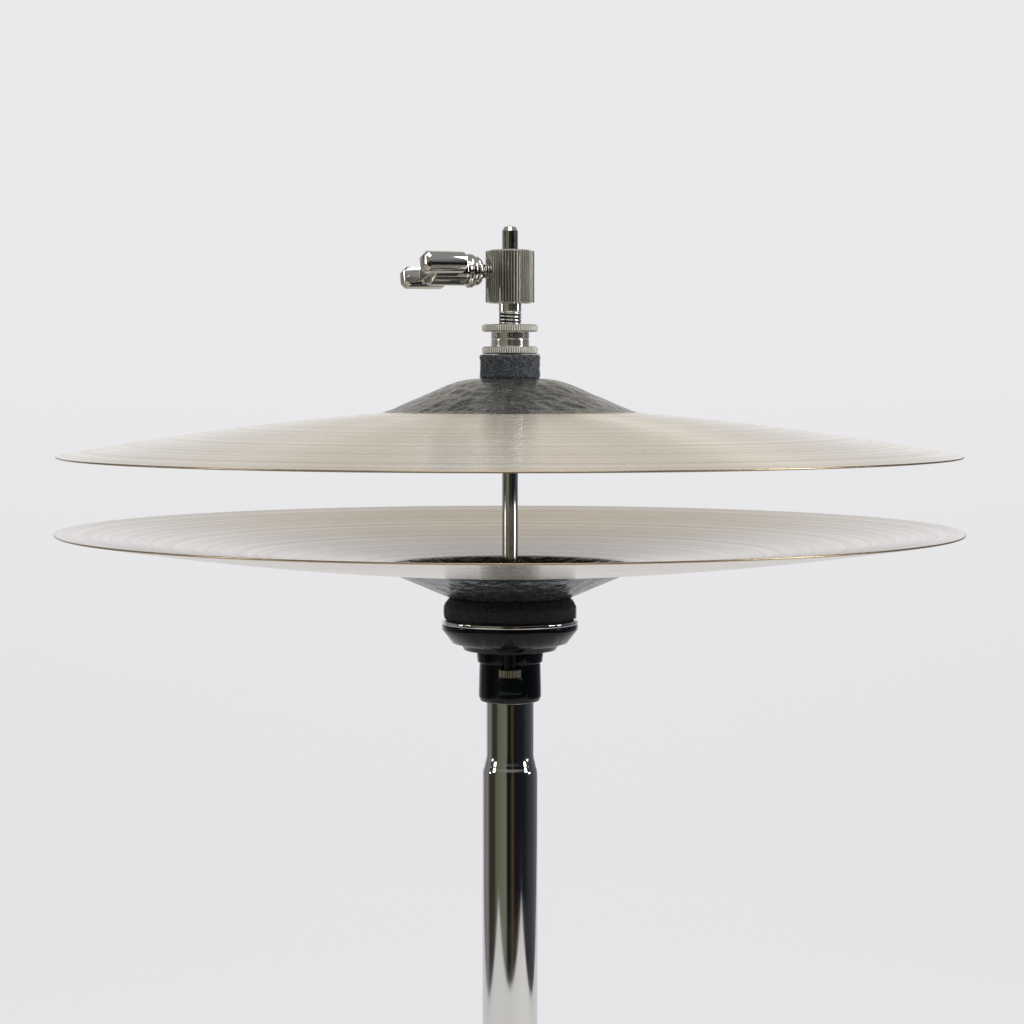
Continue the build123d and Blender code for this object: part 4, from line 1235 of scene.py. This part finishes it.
@dataclass
class Clutch:
    """The clutch: knurled barrel, threaded sleeve, two lock nuts, bottom nut and wing screw."""

    barrel_teeth: int = 54
    nut_teeth: int = 72
    bottom_nut_teeth: int = 60
    barrel_tooth: float = 0.40 * MM
    nut_tooth: float = 0.28 * MM
    bottom_nut_tooth: float = 0.35 * MM
    barrel_bore: float = 3.3 * MM
    sleeve_bore: float = 3.35 * MM
    sleeve_play: float = 0.05 * MM
    socket_depth: float = 3.9 * MM
    boss_radius: float = 7.65 * MM
    flange_thickness: float = 3.0 * MM
    thread_pitch: float = 1.35 * MM
    rib: float = 0.40 * MM
    plain_length: float = 3.4 * MM
    azimuth: float = 205.0
    wing_drop: float = 8.6 * MM
    bead_gap: float = 3.75 * MM

    def knurled(self, node: str, body: str, corners: Corners, knurling: Knurling, shop: Workshop) -> None:
        """Make a turned piece with a knurled band.

        Args:
            node: the CAD node that it replaces.
            body: the body that it rides on.
            corners: its section under the knurling.
            knurling: the band.
            shop: the finishes and trees.
        """
        radius = node_radius(node)
        piece = turned(f"{node}_metal", rounded(corners), steps=96, crease=30)
        # Faces of the core under the ridges take the gap finish: painted shade in the grooves.
        shop.paint.dress(piece, Finish.BRIGHT, knurling.gap)
        mark_second(piece, lambda middle: knurling.covers(middle, radius))
        shop.knurl.run(
            piece,
            Count=knurling.teeth,
            Radius=radius - knurling.tooth,
            Tooth=knurling.tooth,
            Middle=(knurling.low + knurling.high) / 2,
            Height=knurling.high - knurling.low,
            Metal=shop.paint.of(knurling.ridge),
        )
        stand_in(piece, body, "chrome", node)

    def barrel(self, shop: Workshop) -> None:
        """Make the barrel that grips the pull rod.

        Args:
            shop: the finishes and trees.
        """
        low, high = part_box("clutch_barrel")
        radius, bore = node_radius("clutch_barrel") - self.barrel_tooth, self.barrel_bore
        socket, shelf = node_radius("clutch_sleeve") + self.sleeve_play, low.z + self.socket_depth
        corners = [
            (bore, high.z - 0.4 * MM, 0), (bore + 0.5 * MM, high.z, 0.2 * MM),
            (radius - 1.0 * MM, high.z, 0.3 * MM), (radius, high.z - 0.8 * MM, 0.3 * MM),
            (radius, low.z + 0.8 * MM, 0.3 * MM), (radius - 1.0 * MM, low.z, 0.3 * MM),
            (socket, low.z, 0.1 * MM), (socket, shelf, 0), (bore, shelf, 0),
        ]
        band = Knurling(
            low=low.z + 0.5 * MM,
            high=high.z - 0.5 * MM,
            teeth=self.barrel_teeth,
            tooth=self.barrel_tooth,
            ridge=Finish.KNURL,
            # The barrel's gaps take the darkest groove finish: painted shade between the ridges.
            gap=Finish.SHADED_GROOVE,
        )
        self.knurled("clutch_barrel", "clutch", corners, band, shop)

    def lock_nut(self, node: str, body: str, flange_low: bool, shop: Workshop) -> None:
        """Make a lock nut: a finely knurled flange with a polished boss.

        Args:
            node: the CAD node that it replaces.
            body: the body that it rides on.
            flange_low: whether the flange is under the boss.
            shop: the finishes and trees.
        """
        low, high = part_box(node)
        bore, radius = node_radius("clutch_sleeve") + self.sleeve_play, node_radius(node) - self.nut_tooth
        boss, thick = self.boss_radius, self.flange_thickness
        a, b = (low.z, high.z) if flange_low else (high.z, low.z)
        sign = 1 if flange_low else -1
        corners = [
            (bore, a, 0), (radius - 0.5 * MM, a, 0.4 * MM), (radius, a + sign * 0.5 * MM, 0.3 * MM),
            (radius, a + sign * (thick - 0.5 * MM), 0.3 * MM),
            (radius - 0.5 * MM, a + sign * thick, 0.4 * MM),
            (boss, a + sign * thick, 0.2 * MM), (boss, b, 0.25 * MM), (bore, b, 0),
        ]
        foot, head = sorted((a + sign * 0.45 * MM, a + sign * (thick - 0.45 * MM)))
        self.knurled(node, body, corners, Knurling(foot, head, self.nut_teeth, self.nut_tooth), shop)

    def sleeve(self, shop: Workshop) -> None:
        """Make the threaded sleeve, plain for a short way under the barrel.

        Args:
            shop: the finishes and trees.
        """
        low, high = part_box("clutch_sleeve")
        outer, bore = node_radius("clutch_sleeve"), self.sleeve_bore
        core, smooth = outer - self.rib - 0.02 * MM, outer - 0.15 * MM
        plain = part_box("clutch_barrel")[0].z - self.plain_length
        corners = [
            (bore, low.z, 0), (core, low.z, 0), (core, plain, 0), (smooth, plain + 0.4 * MM, 0),
            (smooth, high.z, 0), (bore, high.z, 0),
        ]
        piece = turned("clutch_sleeve_metal", rounded(corners), steps=64, crease=30)
        # The core under the thread takes the dark groove finish: painted shade between the thread's turns.
        shop.paint.dress(piece, Finish.BRIGHT, Finish.SHADED_GROOVE)
        root = core - 0.1 * MM
        mark_second(piece, lambda middle: middle.z < plain and math.hypot(middle.x, middle.y) > root)
        shop.thread.run(
            piece,
            Turns=(plain - low.z) / self.thread_pitch,
            Radius=core,
            Rib=self.rib,
            Foot=low.z,
            Height=plain - low.z,
            Metal=shop.paint.of(Finish.BRIGHT),
        )
        stand_in(piece, "clutch", "chrome", "clutch_sleeve")

    def bottom_nut(self, shop: Workshop) -> None:
        """Make the nut under the top cymbal, with a plain collar below its knurled flange.

        Args:
            shop: the finishes and trees.
        """
        low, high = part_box("clutch_bottom_nut")
        bore = node_radius("clutch_sleeve") + self.sleeve_play
        radius = node_radius("clutch_bottom_nut") - 0.3 * MM
        collar = radius - 2.4 * MM
        corners = [
            (bore, low.z, 0), (collar, low.z, 0.5 * MM), (collar, low.z + 3 * MM, 0.2 * MM),
            (radius, low.z + 3.4 * MM, 0.4 * MM), (radius, high.z, 0.5 * MM), (bore, high.z, 0),
        ]
        band = Knurling(low.z + 3.9 * MM, high.z - 0.5 * MM, self.bottom_nut_teeth, self.bottom_nut_tooth)
        self.knurled("clutch_bottom_nut", "bottom_nut", corners, band, shop)

    def build(self, shop: Workshop) -> None:
        """Make the clutch's pieces.

        Args:
            shop: the finishes and trees.
        """
        self.barrel(shop)
        self.sleeve(shop)
        self.lock_nut("upper_lock_nut", "upper_nut", False, shop)
        self.lock_nut("lower_lock_nut", "lower_nut", True, shop)
        self.bottom_nut(shop)
        WingScrew(
            name="clutch_wing_screw_metal",
            node="clutch_wing_screw",
            body="clutch_screw",
            azimuth=self.azimuth,
            shank_from=node_radius("pull_rod_upper") + 0.1 * MM,
            bead_from=node_radius("clutch_barrel") + self.bead_gap,
            height=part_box("clutch_barrel")[1].z - self.wing_drop,
        ).build(shop)


@dataclass
class FeltWasher:
    """A thick felt washer with a nap of loose fibres."""

    node: str
    body: str
    seed: int
    loft: float = 0.28 * MM
    bow: float = 0.5 * MM
    fibre: float = 1.3 * MM
    density: float = 4.0e6
    bore: float = 5.3 * MM
    fibre_radius: float = 0.045 * MM
    grain: float = 0.42 * MM
    lump_size: float = 1.6 * MM
    lump_depth: float = 0.35 * MM
    wool: Finish = Finish.FELT
    nap: Finish = Finish.WOOL

    def outline(self) -> Corners:
        """Draw the washer's section, whose side pulls in a little between its edges.

        Returns:
            The section's corners.
        """
        low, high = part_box(self.node)
        radius, bore, middle = node_radius(self.node), self.bore, (low.z + high.z) / 2
        foot, head = low.z - self.loft, high.z + self.loft
        return [
            (bore, foot, 0), (radius - 0.5 * MM, foot, 0.3 * MM), (radius, foot + 0.6 * MM, 0.5 * MM),
            (radius - self.bow * 0.4, middle, 6 * MM), (radius, head - 0.7 * MM, 0.8 * MM),
            (radius - 0.6 * MM, head, 0.5 * MM), (bore, head, 0),
        ]

    def build(self, shop: Workshop) -> bpy.types.Object:
        """Make the washer in its CAD node's place.

        Args:
            shop: the finishes and trees.

        Returns:
            The washer.
        """
        piece = turned(f"{self.node}_wool", rounded(self.outline(), steps=6), steps=120, crease=70)
        fine = piece.modifiers.new("fine", "REMESH")
        fine.mode, fine.voxel_size = "VOXEL", self.grain
        lumps = bpy.data.textures.new(f"{self.node}_lumps", "CLOUDS")
        lumps.noise_scale, lumps.noise_depth = self.lump_size, 3
        push = piece.modifiers.new("lumps", "DISPLACE")
        push.texture, push.strength, push.mid_level = lumps, self.lump_depth, 0.75
        push.texture_coords = "LOCAL"
        settled(piece)
        tidy_mesh(piece.data, 80)
        shop.paint.dress(piece, self.wool)
        shop.nap.run(
            piece,
            Density=self.density,
            Length=self.fibre,
            Thickness=self.fibre_radius,
            Seed=self.seed,
            Wool=shop.paint.of(self.nap),
        )
        stand_in(piece, self.body, "felt", self.node)
        return piece


@dataclass
class SeatFelt(FeltWasher):
    """The thick felt under the bottom cymbal, dished where the bell sits; its darker felt and wool are
    painted shade.
    """

    density: float = 1.2e6
    bore: float = 6.5 * MM
    dish_depth: float = 2.8 * MM
    dish_radius: float = 14.0 * MM
    # Darker felt and wool: painted shade under the bottom cymbal.
    wool: Finish = Finish.SHADED_SEAT_FELT
    nap: Finish = Finish.SHADED_SEAT_WOOL

    def outline(self) -> Corners:
        """Draw the felt's section, with a rounded, slumped top edge.

        Returns:
            The section's corners.
        """
        low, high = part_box(self.node)
        radius, bore, dish = node_radius(self.node), self.bore, high.z - self.dish_depth
        return [
            (bore, low.z, 0), (radius - 0.9 * MM, low.z, 0.5 * MM), (radius, low.z + 1.2 * MM, 1.2 * MM),
            (radius, high.z - 3.6 * MM, 3.0 * MM), (radius - 2.2 * MM, high.z - 0.2 * MM, 1.4 * MM),
            (self.dish_radius, dish, 6 * MM), (bore, dish, 0),
        ]


@dataclass
class SeatPost:
    """The upper tube with its swaged neck, and the wheel that tilts the seat."""

    wall: float = 1.25 * MM
    neck_radius: float = 9.525 * MM
    swage: tuple[float, float] = (738.4 * MM, 748.6 * MM)
    swage_steps: int = 22
    pinch_depth: float = 0.10 * MM
    wrinkle: float = 0.0035
    wheel_teeth: int = 26
    wheel_tooth: float = 0.4 * MM
    wheel_bore: float = 2.3 * MM

    def tube(self, shop: Workshop) -> None:
        """Make the upper tube: a smooth swage, a little wrinkled where the press gripped it.

        Args:
            shop: the finishes and trees.
        """
        low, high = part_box("upper_tube")
        wide, neck = node_radius("upper_tube"), self.neck_radius
        foot, head = self.swage
        skin = [(wide, low.z + 0.5 * MM)]
        for step in range(self.swage_steps + 1):
            share = step / self.swage_steps
            ease = share**3 * (10 - 15 * share + 6 * share**2)
            pinch = self.pinch_depth * math.exp(-(((share - 0.42) / 0.07) ** 2))
            skin.append((wide + (neck - wide) * ease - pinch, foot + (head - foot) * share))
        skin += [(neck, high.z - 0.2 * MM), (neck - self.wall, high.z), (neck - self.wall, head)]
        skin += [(wide - self.wall, foot), (wide - self.wall, low.z), (wide - 0.4 * MM, low.z)]
        piece = turned("upper_tube_metal", skin, steps=128, crease=50)
        for vertex in piece.data.vertices:
            share = (vertex.co.z - foot) / (head - foot)
            if 0.05 < share < 0.95:
                angle = math.atan2(vertex.co.y, vertex.co.x)
                wave = math.sin(angle * 17 + 3 * math.sin(angle * 5)) * math.sin(share * math.pi)
                scale = 1 - self.wrinkle * (0.5 + 0.5 * wave)
                vertex.co.x, vertex.co.y = vertex.co.x * scale, vertex.co.y * scale
        piece.data.update()
        shop.paint.dress(piece, Finish.CHROME)
        stand_in(piece, "seat_post", "chrome", "upper_tube")

    def wheel(self, shop: Workshop) -> None:
        """Make the knurled tilt wheel.

        Args:
            shop: the finishes and trees.
        """
        low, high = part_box("tilt_wheel")
        bore, core, ease = self.wheel_bore, (high.x - low.x) / 2 - self.wheel_tooth, 0.3 * MM
        corners = [
            (bore, low.z, 0), (core - ease, low.z, 0.2 * MM), (core, low.z + ease, 0.2 * MM),
            (core, high.z - ease, 0.2 * MM), (core - ease, high.z, 0.2 * MM), (bore, high.z, 0),
        ]
        piece = turned("tilt_wheel_metal", rounded(corners), steps=48, crease=30)
        # The whole core takes the dark groove finish: painted shade between the teeth, which darkens its
        # ends and bore too.
        shop.paint.dress(piece, Finish.SHADED_GROOVE)
        shop.knurl.run(
            piece,
            Count=self.wheel_teeth,
            Radius=core,
            Tooth=self.wheel_tooth,
            Middle=(low.z + high.z) / 2,
            Height=high.z - low.z - 0.7 * MM,
            Metal=shop.paint.of(Finish.WHEEL),
        )
        placed(piece, Matrix.Translation((0, (low.y + high.y) / 2, 0)))
        stand_in(piece, "tilt_wheel", "chrome", "tilt_wheel")

    def build(self, shop: Workshop) -> None:
        """Make both pieces."""
        self.tube(shop)
        self.wheel(shop)


class Polisher:
    """Gives CAD pieces softened edges: a merged copy of each, bevelled where it turns sharply."""

    def __init__(self, shop: Workshop) -> None:
        """Start with the shared finishes.

        Args:
            shop: the finishes and trees.
        """
        self.shop = shop

    def coil(self, node: str, body: str, slot: str) -> bpy.types.Object:
        """Stand a softened spring, with a mesh of its own, in for its CAD node.

        Args:
            node: the CAD node.
            body: the body that it rides on.
            slot: its record slot.

        Returns:
            The spring.
        """
        piece = self.soften(node, body, slot, Finish.STEEL, 0.15 * MM)
        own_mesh(piece)
        return piece

    def soften(self, node: str, body: str, slot: str, finish: Finish, width: float) -> bpy.types.Object:
        """Stand a softened copy in for a CAD node.

        Args:
            node: the CAD node.
            body: the body that it rides on.
            slot: its record slot.
            finish: its finish.
            width: the bevel's width.

        Returns:
            The copy.
        """
        mesh = bpy.data.objects[node].data.copy()
        mesh.name = f"{node}_body"
        piece = bpy.data.objects.new(mesh.name, mesh)
        bpy.context.scene.collection.objects.link(piece)
        work = bmesh.new()
        work.from_mesh(mesh)
        bmesh.ops.remove_doubles(work, verts=work.verts, dist=2e-6)
        bmesh.ops.dissolve_limit(
            work,
            angle_limit=math.radians(0.5),
            use_dissolve_boundaries=False,
            verts=work.verts,
            edges=work.edges,
        )
        work.to_mesh(mesh)
        work.free()
        bevel = piece.modifiers.new("soften", "BEVEL")
        bevel.width, bevel.segments, bevel.angle_limit = width, 2, math.radians(38)
        bevel.harden_normals, bevel.use_clamp_overlap = False, True
        settled(piece)
        piece.data.shade_smooth()
        piece.data.set_sharp_from_angle(angle=math.radians(34))
        self.shop.paint.dress(piece, finish)
        return stand_in(piece, body, slot, node)


@dataclass
class Studio:
    """Camera, backdrop and light."""

    eye: tuple[float, float, float] = (0.0008, -0.985, 0.8987)
    pitch: float = 3.16
    lens: float = 87.15
    wall_distance: float = 4.4
    wall_glow: Colour = (0.795, 0.795, 0.81)
    wall_matte: Colour = (0.05, 0.05, 0.05)
    floor_matte: Colour = (0.42, 0.42, 0.42)
    floor_glow: Colour = (0.555, 0.555, 0.575)
    high_glow: Colour = (0.54, 0.44, 0.20)
    ceiling: Colour = (0.34, 0.34, 0.34)
    half_width: float = 1.7
    near_edge: float = -1.5
    wall_height: float = 4.4
    bend: float = 1.2
    bend_from: float = 1.0
    overhead_tint: Colour = (1.0, 0.99, 0.975)
    side_tint: Colour = (1.0, 0.985, 0.96)

    def camera(self) -> None:
        """Place the camera at the object's side, level with the top cymbal's clutch."""
        data = bpy.data.cameras.new("camera")
        data.lens, data.sensor_width, data.clip_start, data.clip_end = self.lens, 36.0, 0.01, 100.0
        camera = bpy.data.objects.new("camera", data)
        camera.location = self.eye
        camera.rotation_euler = (math.radians(90 - self.pitch), 0, 0)
        bpy.context.scene.collection.objects.link(camera)
        bpy.context.scene.camera = camera

    def sweep_mesh(self) -> bpy.types.Object:
        """Make the floor that curves up into a wall behind the object.

        Returns:
            The sweep.
        """
        steps, bend, wall = 12, self.bend, self.wall_distance
        section = [(self.near_edge, 0.0), (self.bend_from, 0.0)]
        for step in range(steps + 1):
            angle = math.pi / 2 * step / steps
            section.append((wall - bend + bend * math.sin(angle), bend - bend * math.cos(angle)))
        section.append((wall, self.wall_height))
        points = [(side, y, z) for side in (-self.half_width, self.half_width) for y, z in section]
        count = len(section)
        faces = [(i, i + 1, count + i + 1, count + i) for i in range(count - 1)]
        mesh = bpy.data.meshes.new("sweep")
        mesh.from_pydata(points, [], faces)
        mesh.shade_smooth()
        stage = bpy.data.objects.new("sweep", mesh)
        bpy.context.scene.collection.objects.link(stage)
        return stage

    def sweep(self) -> None:
        """Build the sweep's pale, evenly lit surface, with a warm patch high on the wall."""
        material, graph, shader = new_material("pale_sweep")
        place = graph.add("ShaderNodeTexCoord").outputs["Object"]
        side, _, height = graph.add("ShaderNodeSeparateXYZ", {0: place}).outputs
        rise = graph.span(height, 0.0, 0.9, 0.0, 1.0)
        plain = graph.mix(rise, rgba(self.floor_glow), rgba(self.wall_glow))
        from_below = graph.span(height, 2.4, 2.7, 0.0, 1.0)
        band = graph.math("MULTIPLY", from_below, graph.span(height, 3.2, 3.5, 1.0, 0.0))
        across = graph.math("ABSOLUTE", side)
        patch = graph.math("MULTIPLY", band, graph.span(across, 0.6, 1.6, 1.0, 0.0))
        graph.link(graph.mix(patch, plain, rgba(self.high_glow)), shader.inputs["Emission Color"])
        matte = graph.mix(rise, rgba(self.floor_matte), rgba(self.wall_matte))
        graph.link(matte, shader.inputs["Base Color"])
        shader.inputs["Roughness"].default_value = 0.9
        shader.inputs["Specular IOR Level"].default_value = 0.0
        shader.inputs["Emission Strength"].default_value = 1.0
        stage = self.sweep_mesh()
        stage.data.materials.append(material)

    @staticmethod
    def lamp(
        name: str, place: Vector, aim: Vector, size: tuple[float, float], watts: float, tint: Colour
    ) -> None:
        """Hang one soft lamp.

        Args:
            name: the lamp's name.
            place: where it hangs.
            aim: the point that it faces.
            size: its width and height.
            watts: its power.
            tint: its colour.
        """
        data = bpy.data.lights.new(name, "AREA")
        data.shape, data.size, data.size_y, data.energy = "RECTANGLE", *size, watts
        data.color = tint
        lamp = bpy.data.objects.new(name, data)
        lamp.location = place
        lamp.rotation_euler = (aim - place).to_track_quat("-Z", "Y").to_euler()
        bpy.context.scene.collection.objects.link(lamp)

    def world(self) -> None:
        """Build the surroundings: pale behind the object, a dim room before it, grey overhead."""
        world = bpy.data.worlds.new("room")
        world.use_nodes = True
        bpy.context.scene.world = world
        graph = Graph(world.node_tree)
        graph.tree.nodes.clear()
        direction = graph.add("ShaderNodeTexCoord").outputs["Generated"]
        across, ahead, up = graph.add("ShaderNodeSeparateXYZ", {0: direction}).outputs
        bearing = graph.math("ARCTAN2", across, graph.math("MULTIPLY", ahead, -1.0))
        turn = graph.span(bearing, -math.pi, math.pi, 0.0, 1.0)
        ramp = graph.add("ShaderNodeValToRGB", {"Fac": turn})
        # Each stop is a share of a full turn from behind the object, by its left, front and right.
        stops = [
            (0.00, (0.80, 0.80, 0.82)), (0.08, (0.80, 0.80, 0.84)), (0.13, (0.24, 0.22, 0.24)),
            (0.20, (0.28, 0.27, 0.29)), (0.24, (0.05, 0.042, 0.036)), (0.31, (0.05, 0.042, 0.036)),
            (0.335, (0.15, 0.16, 0.115)), (0.45, (0.21, 0.225, 0.165)), (0.472, (0.012, 0.011, 0.010)),
            (0.505, (0.012, 0.010, 0.008)), (0.525, (0.10, 0.068, 0.038)), (0.56, (0.010, 0.010, 0.012)),
            (0.68, (0.015, 0.016, 0.022)), (0.80, (0.075, 0.078, 0.09)), (0.86, (0.17, 0.14, 0.20)),
            (0.92, (0.24, 0.22, 0.26)), (0.95, (0.80, 0.80, 0.84)), (1.00, (0.80, 0.80, 0.82)),
        ]
        elements = ramp.color_ramp.elements
        while len(elements) < len(stops):
            elements.new(0.5)
        for element, (place, colour) in zip(elements, stops):
            element.position, element.color = place, rgba(colour)
        high = graph.span(up, 0.30, 0.52, 0.0, 1.0)
        room = graph.mix(high, ramp.outputs["Color"], rgba(self.ceiling))
        seen = graph.add("ShaderNodeLightPath").outputs["Is Camera Ray"]
        colour = graph.mix(seen, room, rgba(self.wall_glow))
        background = graph.add("ShaderNodeBackground", {"Color": colour, "Strength": 1.0})
        graph.add("ShaderNodeOutputWorld", {"Surface": background.outputs[0]})

    def build(self) -> None:
        """Set up the studio."""
        self.camera()
        self.sweep()
        self.world()
        bpy.context.scene.view_settings.view_transform = "Standard"
        cymbals, clutch = Vector((0, 0, 0.9)), Vector((0, 0, 0.925))
        self.lamp("overhead", Vector((0, -0.8, 2.7)), cymbals, (1.4, 1.4), 16, self.overhead_tint)
        for side, name, watts in ((-1, "left", 17), (1, "right", 46)):
            high, low = Vector((side * 2.22, -0.6, 2.15)), Vector((side * 2.3, 0.0, 0.925))
            self.lamp(f"{name}_softbox", high, Vector((0, 0, 1.95)), (0.45, 1.9), watts, self.side_tint)
            self.lamp(f"{name}_strip", low, clutch, (0.3, 0.15), 1.6, self.side_tint)


# Where the clamp bolt's beads start.
CLAMP_BEAD_FROM = 30.0 * MM

# CAD nodes that get softened edges: the finish and the bevel's width.
SOFTENED: dict[str, tuple[Finish, float]] = {
    "base_frame": (Finish.CASTING, 0.8 * MM),
    "clamp_housing": (Finish.CASTING, 0.5 * MM),
    "footboard": (Finish.CASTING, 0.7 * MM),
    "heel_plate": (Finish.CASTING, 0.8 * MM),
    "toe_bracket": (Finish.CASTING, 0.4 * MM),
    "toe_stop": (Finish.RUBBER, 0.7 * MM),
    "leg_left": (Finish.CHROME, 0.9 * MM),
    "leg_right": (Finish.CHROME, 0.9 * MM),
    "leg_rear": (Finish.CHROME, 0.9 * MM),
    "leg_tip_left": (Finish.RUBBER, 1.2 * MM),
    "leg_tip_right": (Finish.RUBBER, 1.2 * MM),
    "leg_tip_rear": (Finish.RUBBER, 1.2 * MM),
    "heel_pad": (Finish.RUBBER, 0.4 * MM),
    "frame_feet": (Finish.RUBBER, 0.5 * MM),
    "memory_lock": (Finish.CHROME, 0.4 * MM),
    "memory_lock_key_screw": (Finish.STEEL, 0.3 * MM),
    "tension_ring": (Finish.CHROME, 0.5 * MM),
    "rod_yoke": (Finish.STEEL, 0.4 * MM),
    "rod_coupler": (Finish.STEEL, 0.3 * MM),
    "seat_cup": (Finish.BLACK, 0.45 * MM),
    "seat_sleeve": (Finish.BLACK, 0.4 * MM),
    "seat_washer": (Finish.CHROME, 0.25 * MM),
}

# CAD nodes that are shown as they are.
KEPT: dict[str, Finish] = {
    "clamp_bush": Finish.NYLON,
    "drive_chain": Finish.STEEL,
    "heel_pin": Finish.STEEL,
    "leg_bolt_left": Finish.STEEL,
    "leg_bolt_rear": Finish.STEEL,
    "leg_bolt_right": Finish.STEEL,
    "lower_tube": Finish.CHROME,
    "pull_rod_lower": Finish.CHROME,
    "pull_rod_upper": Finish.CHROME,
    "radius_rod_left": Finish.CHROME,
    "radius_rod_right": Finish.CHROME,
    "seat_pivot_pin": Finish.STEEL,
    "spring_collar": Finish.STEEL,
    "spring_seat": Finish.NYLON,
    "tilt_screw": Finish.OXIDE,
    "toe_pin": Finish.STEEL,
    "yoke_pin": Finish.STEEL,
}


def main() -> None:
    """Load the frame, build the studio and every piece."""
    logging.basicConfig(level=logging.INFO, format="%(message)s")
    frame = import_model()
    slots = {part["node"]: part["material_slot"] for part in frame["record"]["subparts"]}
    members = frame["record"]["behaviour"]["bodies"]
    bodies = {node: body for body, nodes in members.items() for node in nodes}
    Studio().build()
    shop = Workshop()
    Cymbal("top_cymbal", bell_up=True, thickness=1.4 * MM, seed=3).build(shop)
    # The bottom cymbal takes the darker bronze copies: painted shade under the top cymbal.
    Cymbal("bottom_cymbal", False, 1.6 * MM, 8, Finish.SHADED_LOW_BOW, Finish.SHADED_LOW_BELL).build(shop)
    Clutch().build(shop)
    for seed, node in enumerate(("clutch_upper_felt", "clutch_lower_felt")):
        FeltWasher(node, "clutch_felts", seed).build(shop)
    SeatFelt("seat_felt", "seat", 5).build(shop)
    SeatPost().build(shop)
    bolt_low, bolt_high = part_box("clamp_wing_bolt")
    WingScrew(
        name="clamp_wing_bolt_metal",
        node="clamp_wing_bolt",
        body="clamp_bolt",
        azimuth=0.0,
        shank_from=bolt_low.x,
        bead_from=CLAMP_BEAD_FROM,
        height=(bolt_low.z + bolt_high.z) / 2,
    ).build(shop)
    polisher = Polisher(shop)
    for node, (finish, width) in SOFTENED.items():
        polisher.soften(node, bodies[node], slots[node], finish, width)
    polisher.coil("spring", bodies["spring"], slots["spring"])
    for node, finish in KEPT.items():
        shop.paint.dress(frame["nodes"][node], finish)


if __name__ == "__main__":
    main()
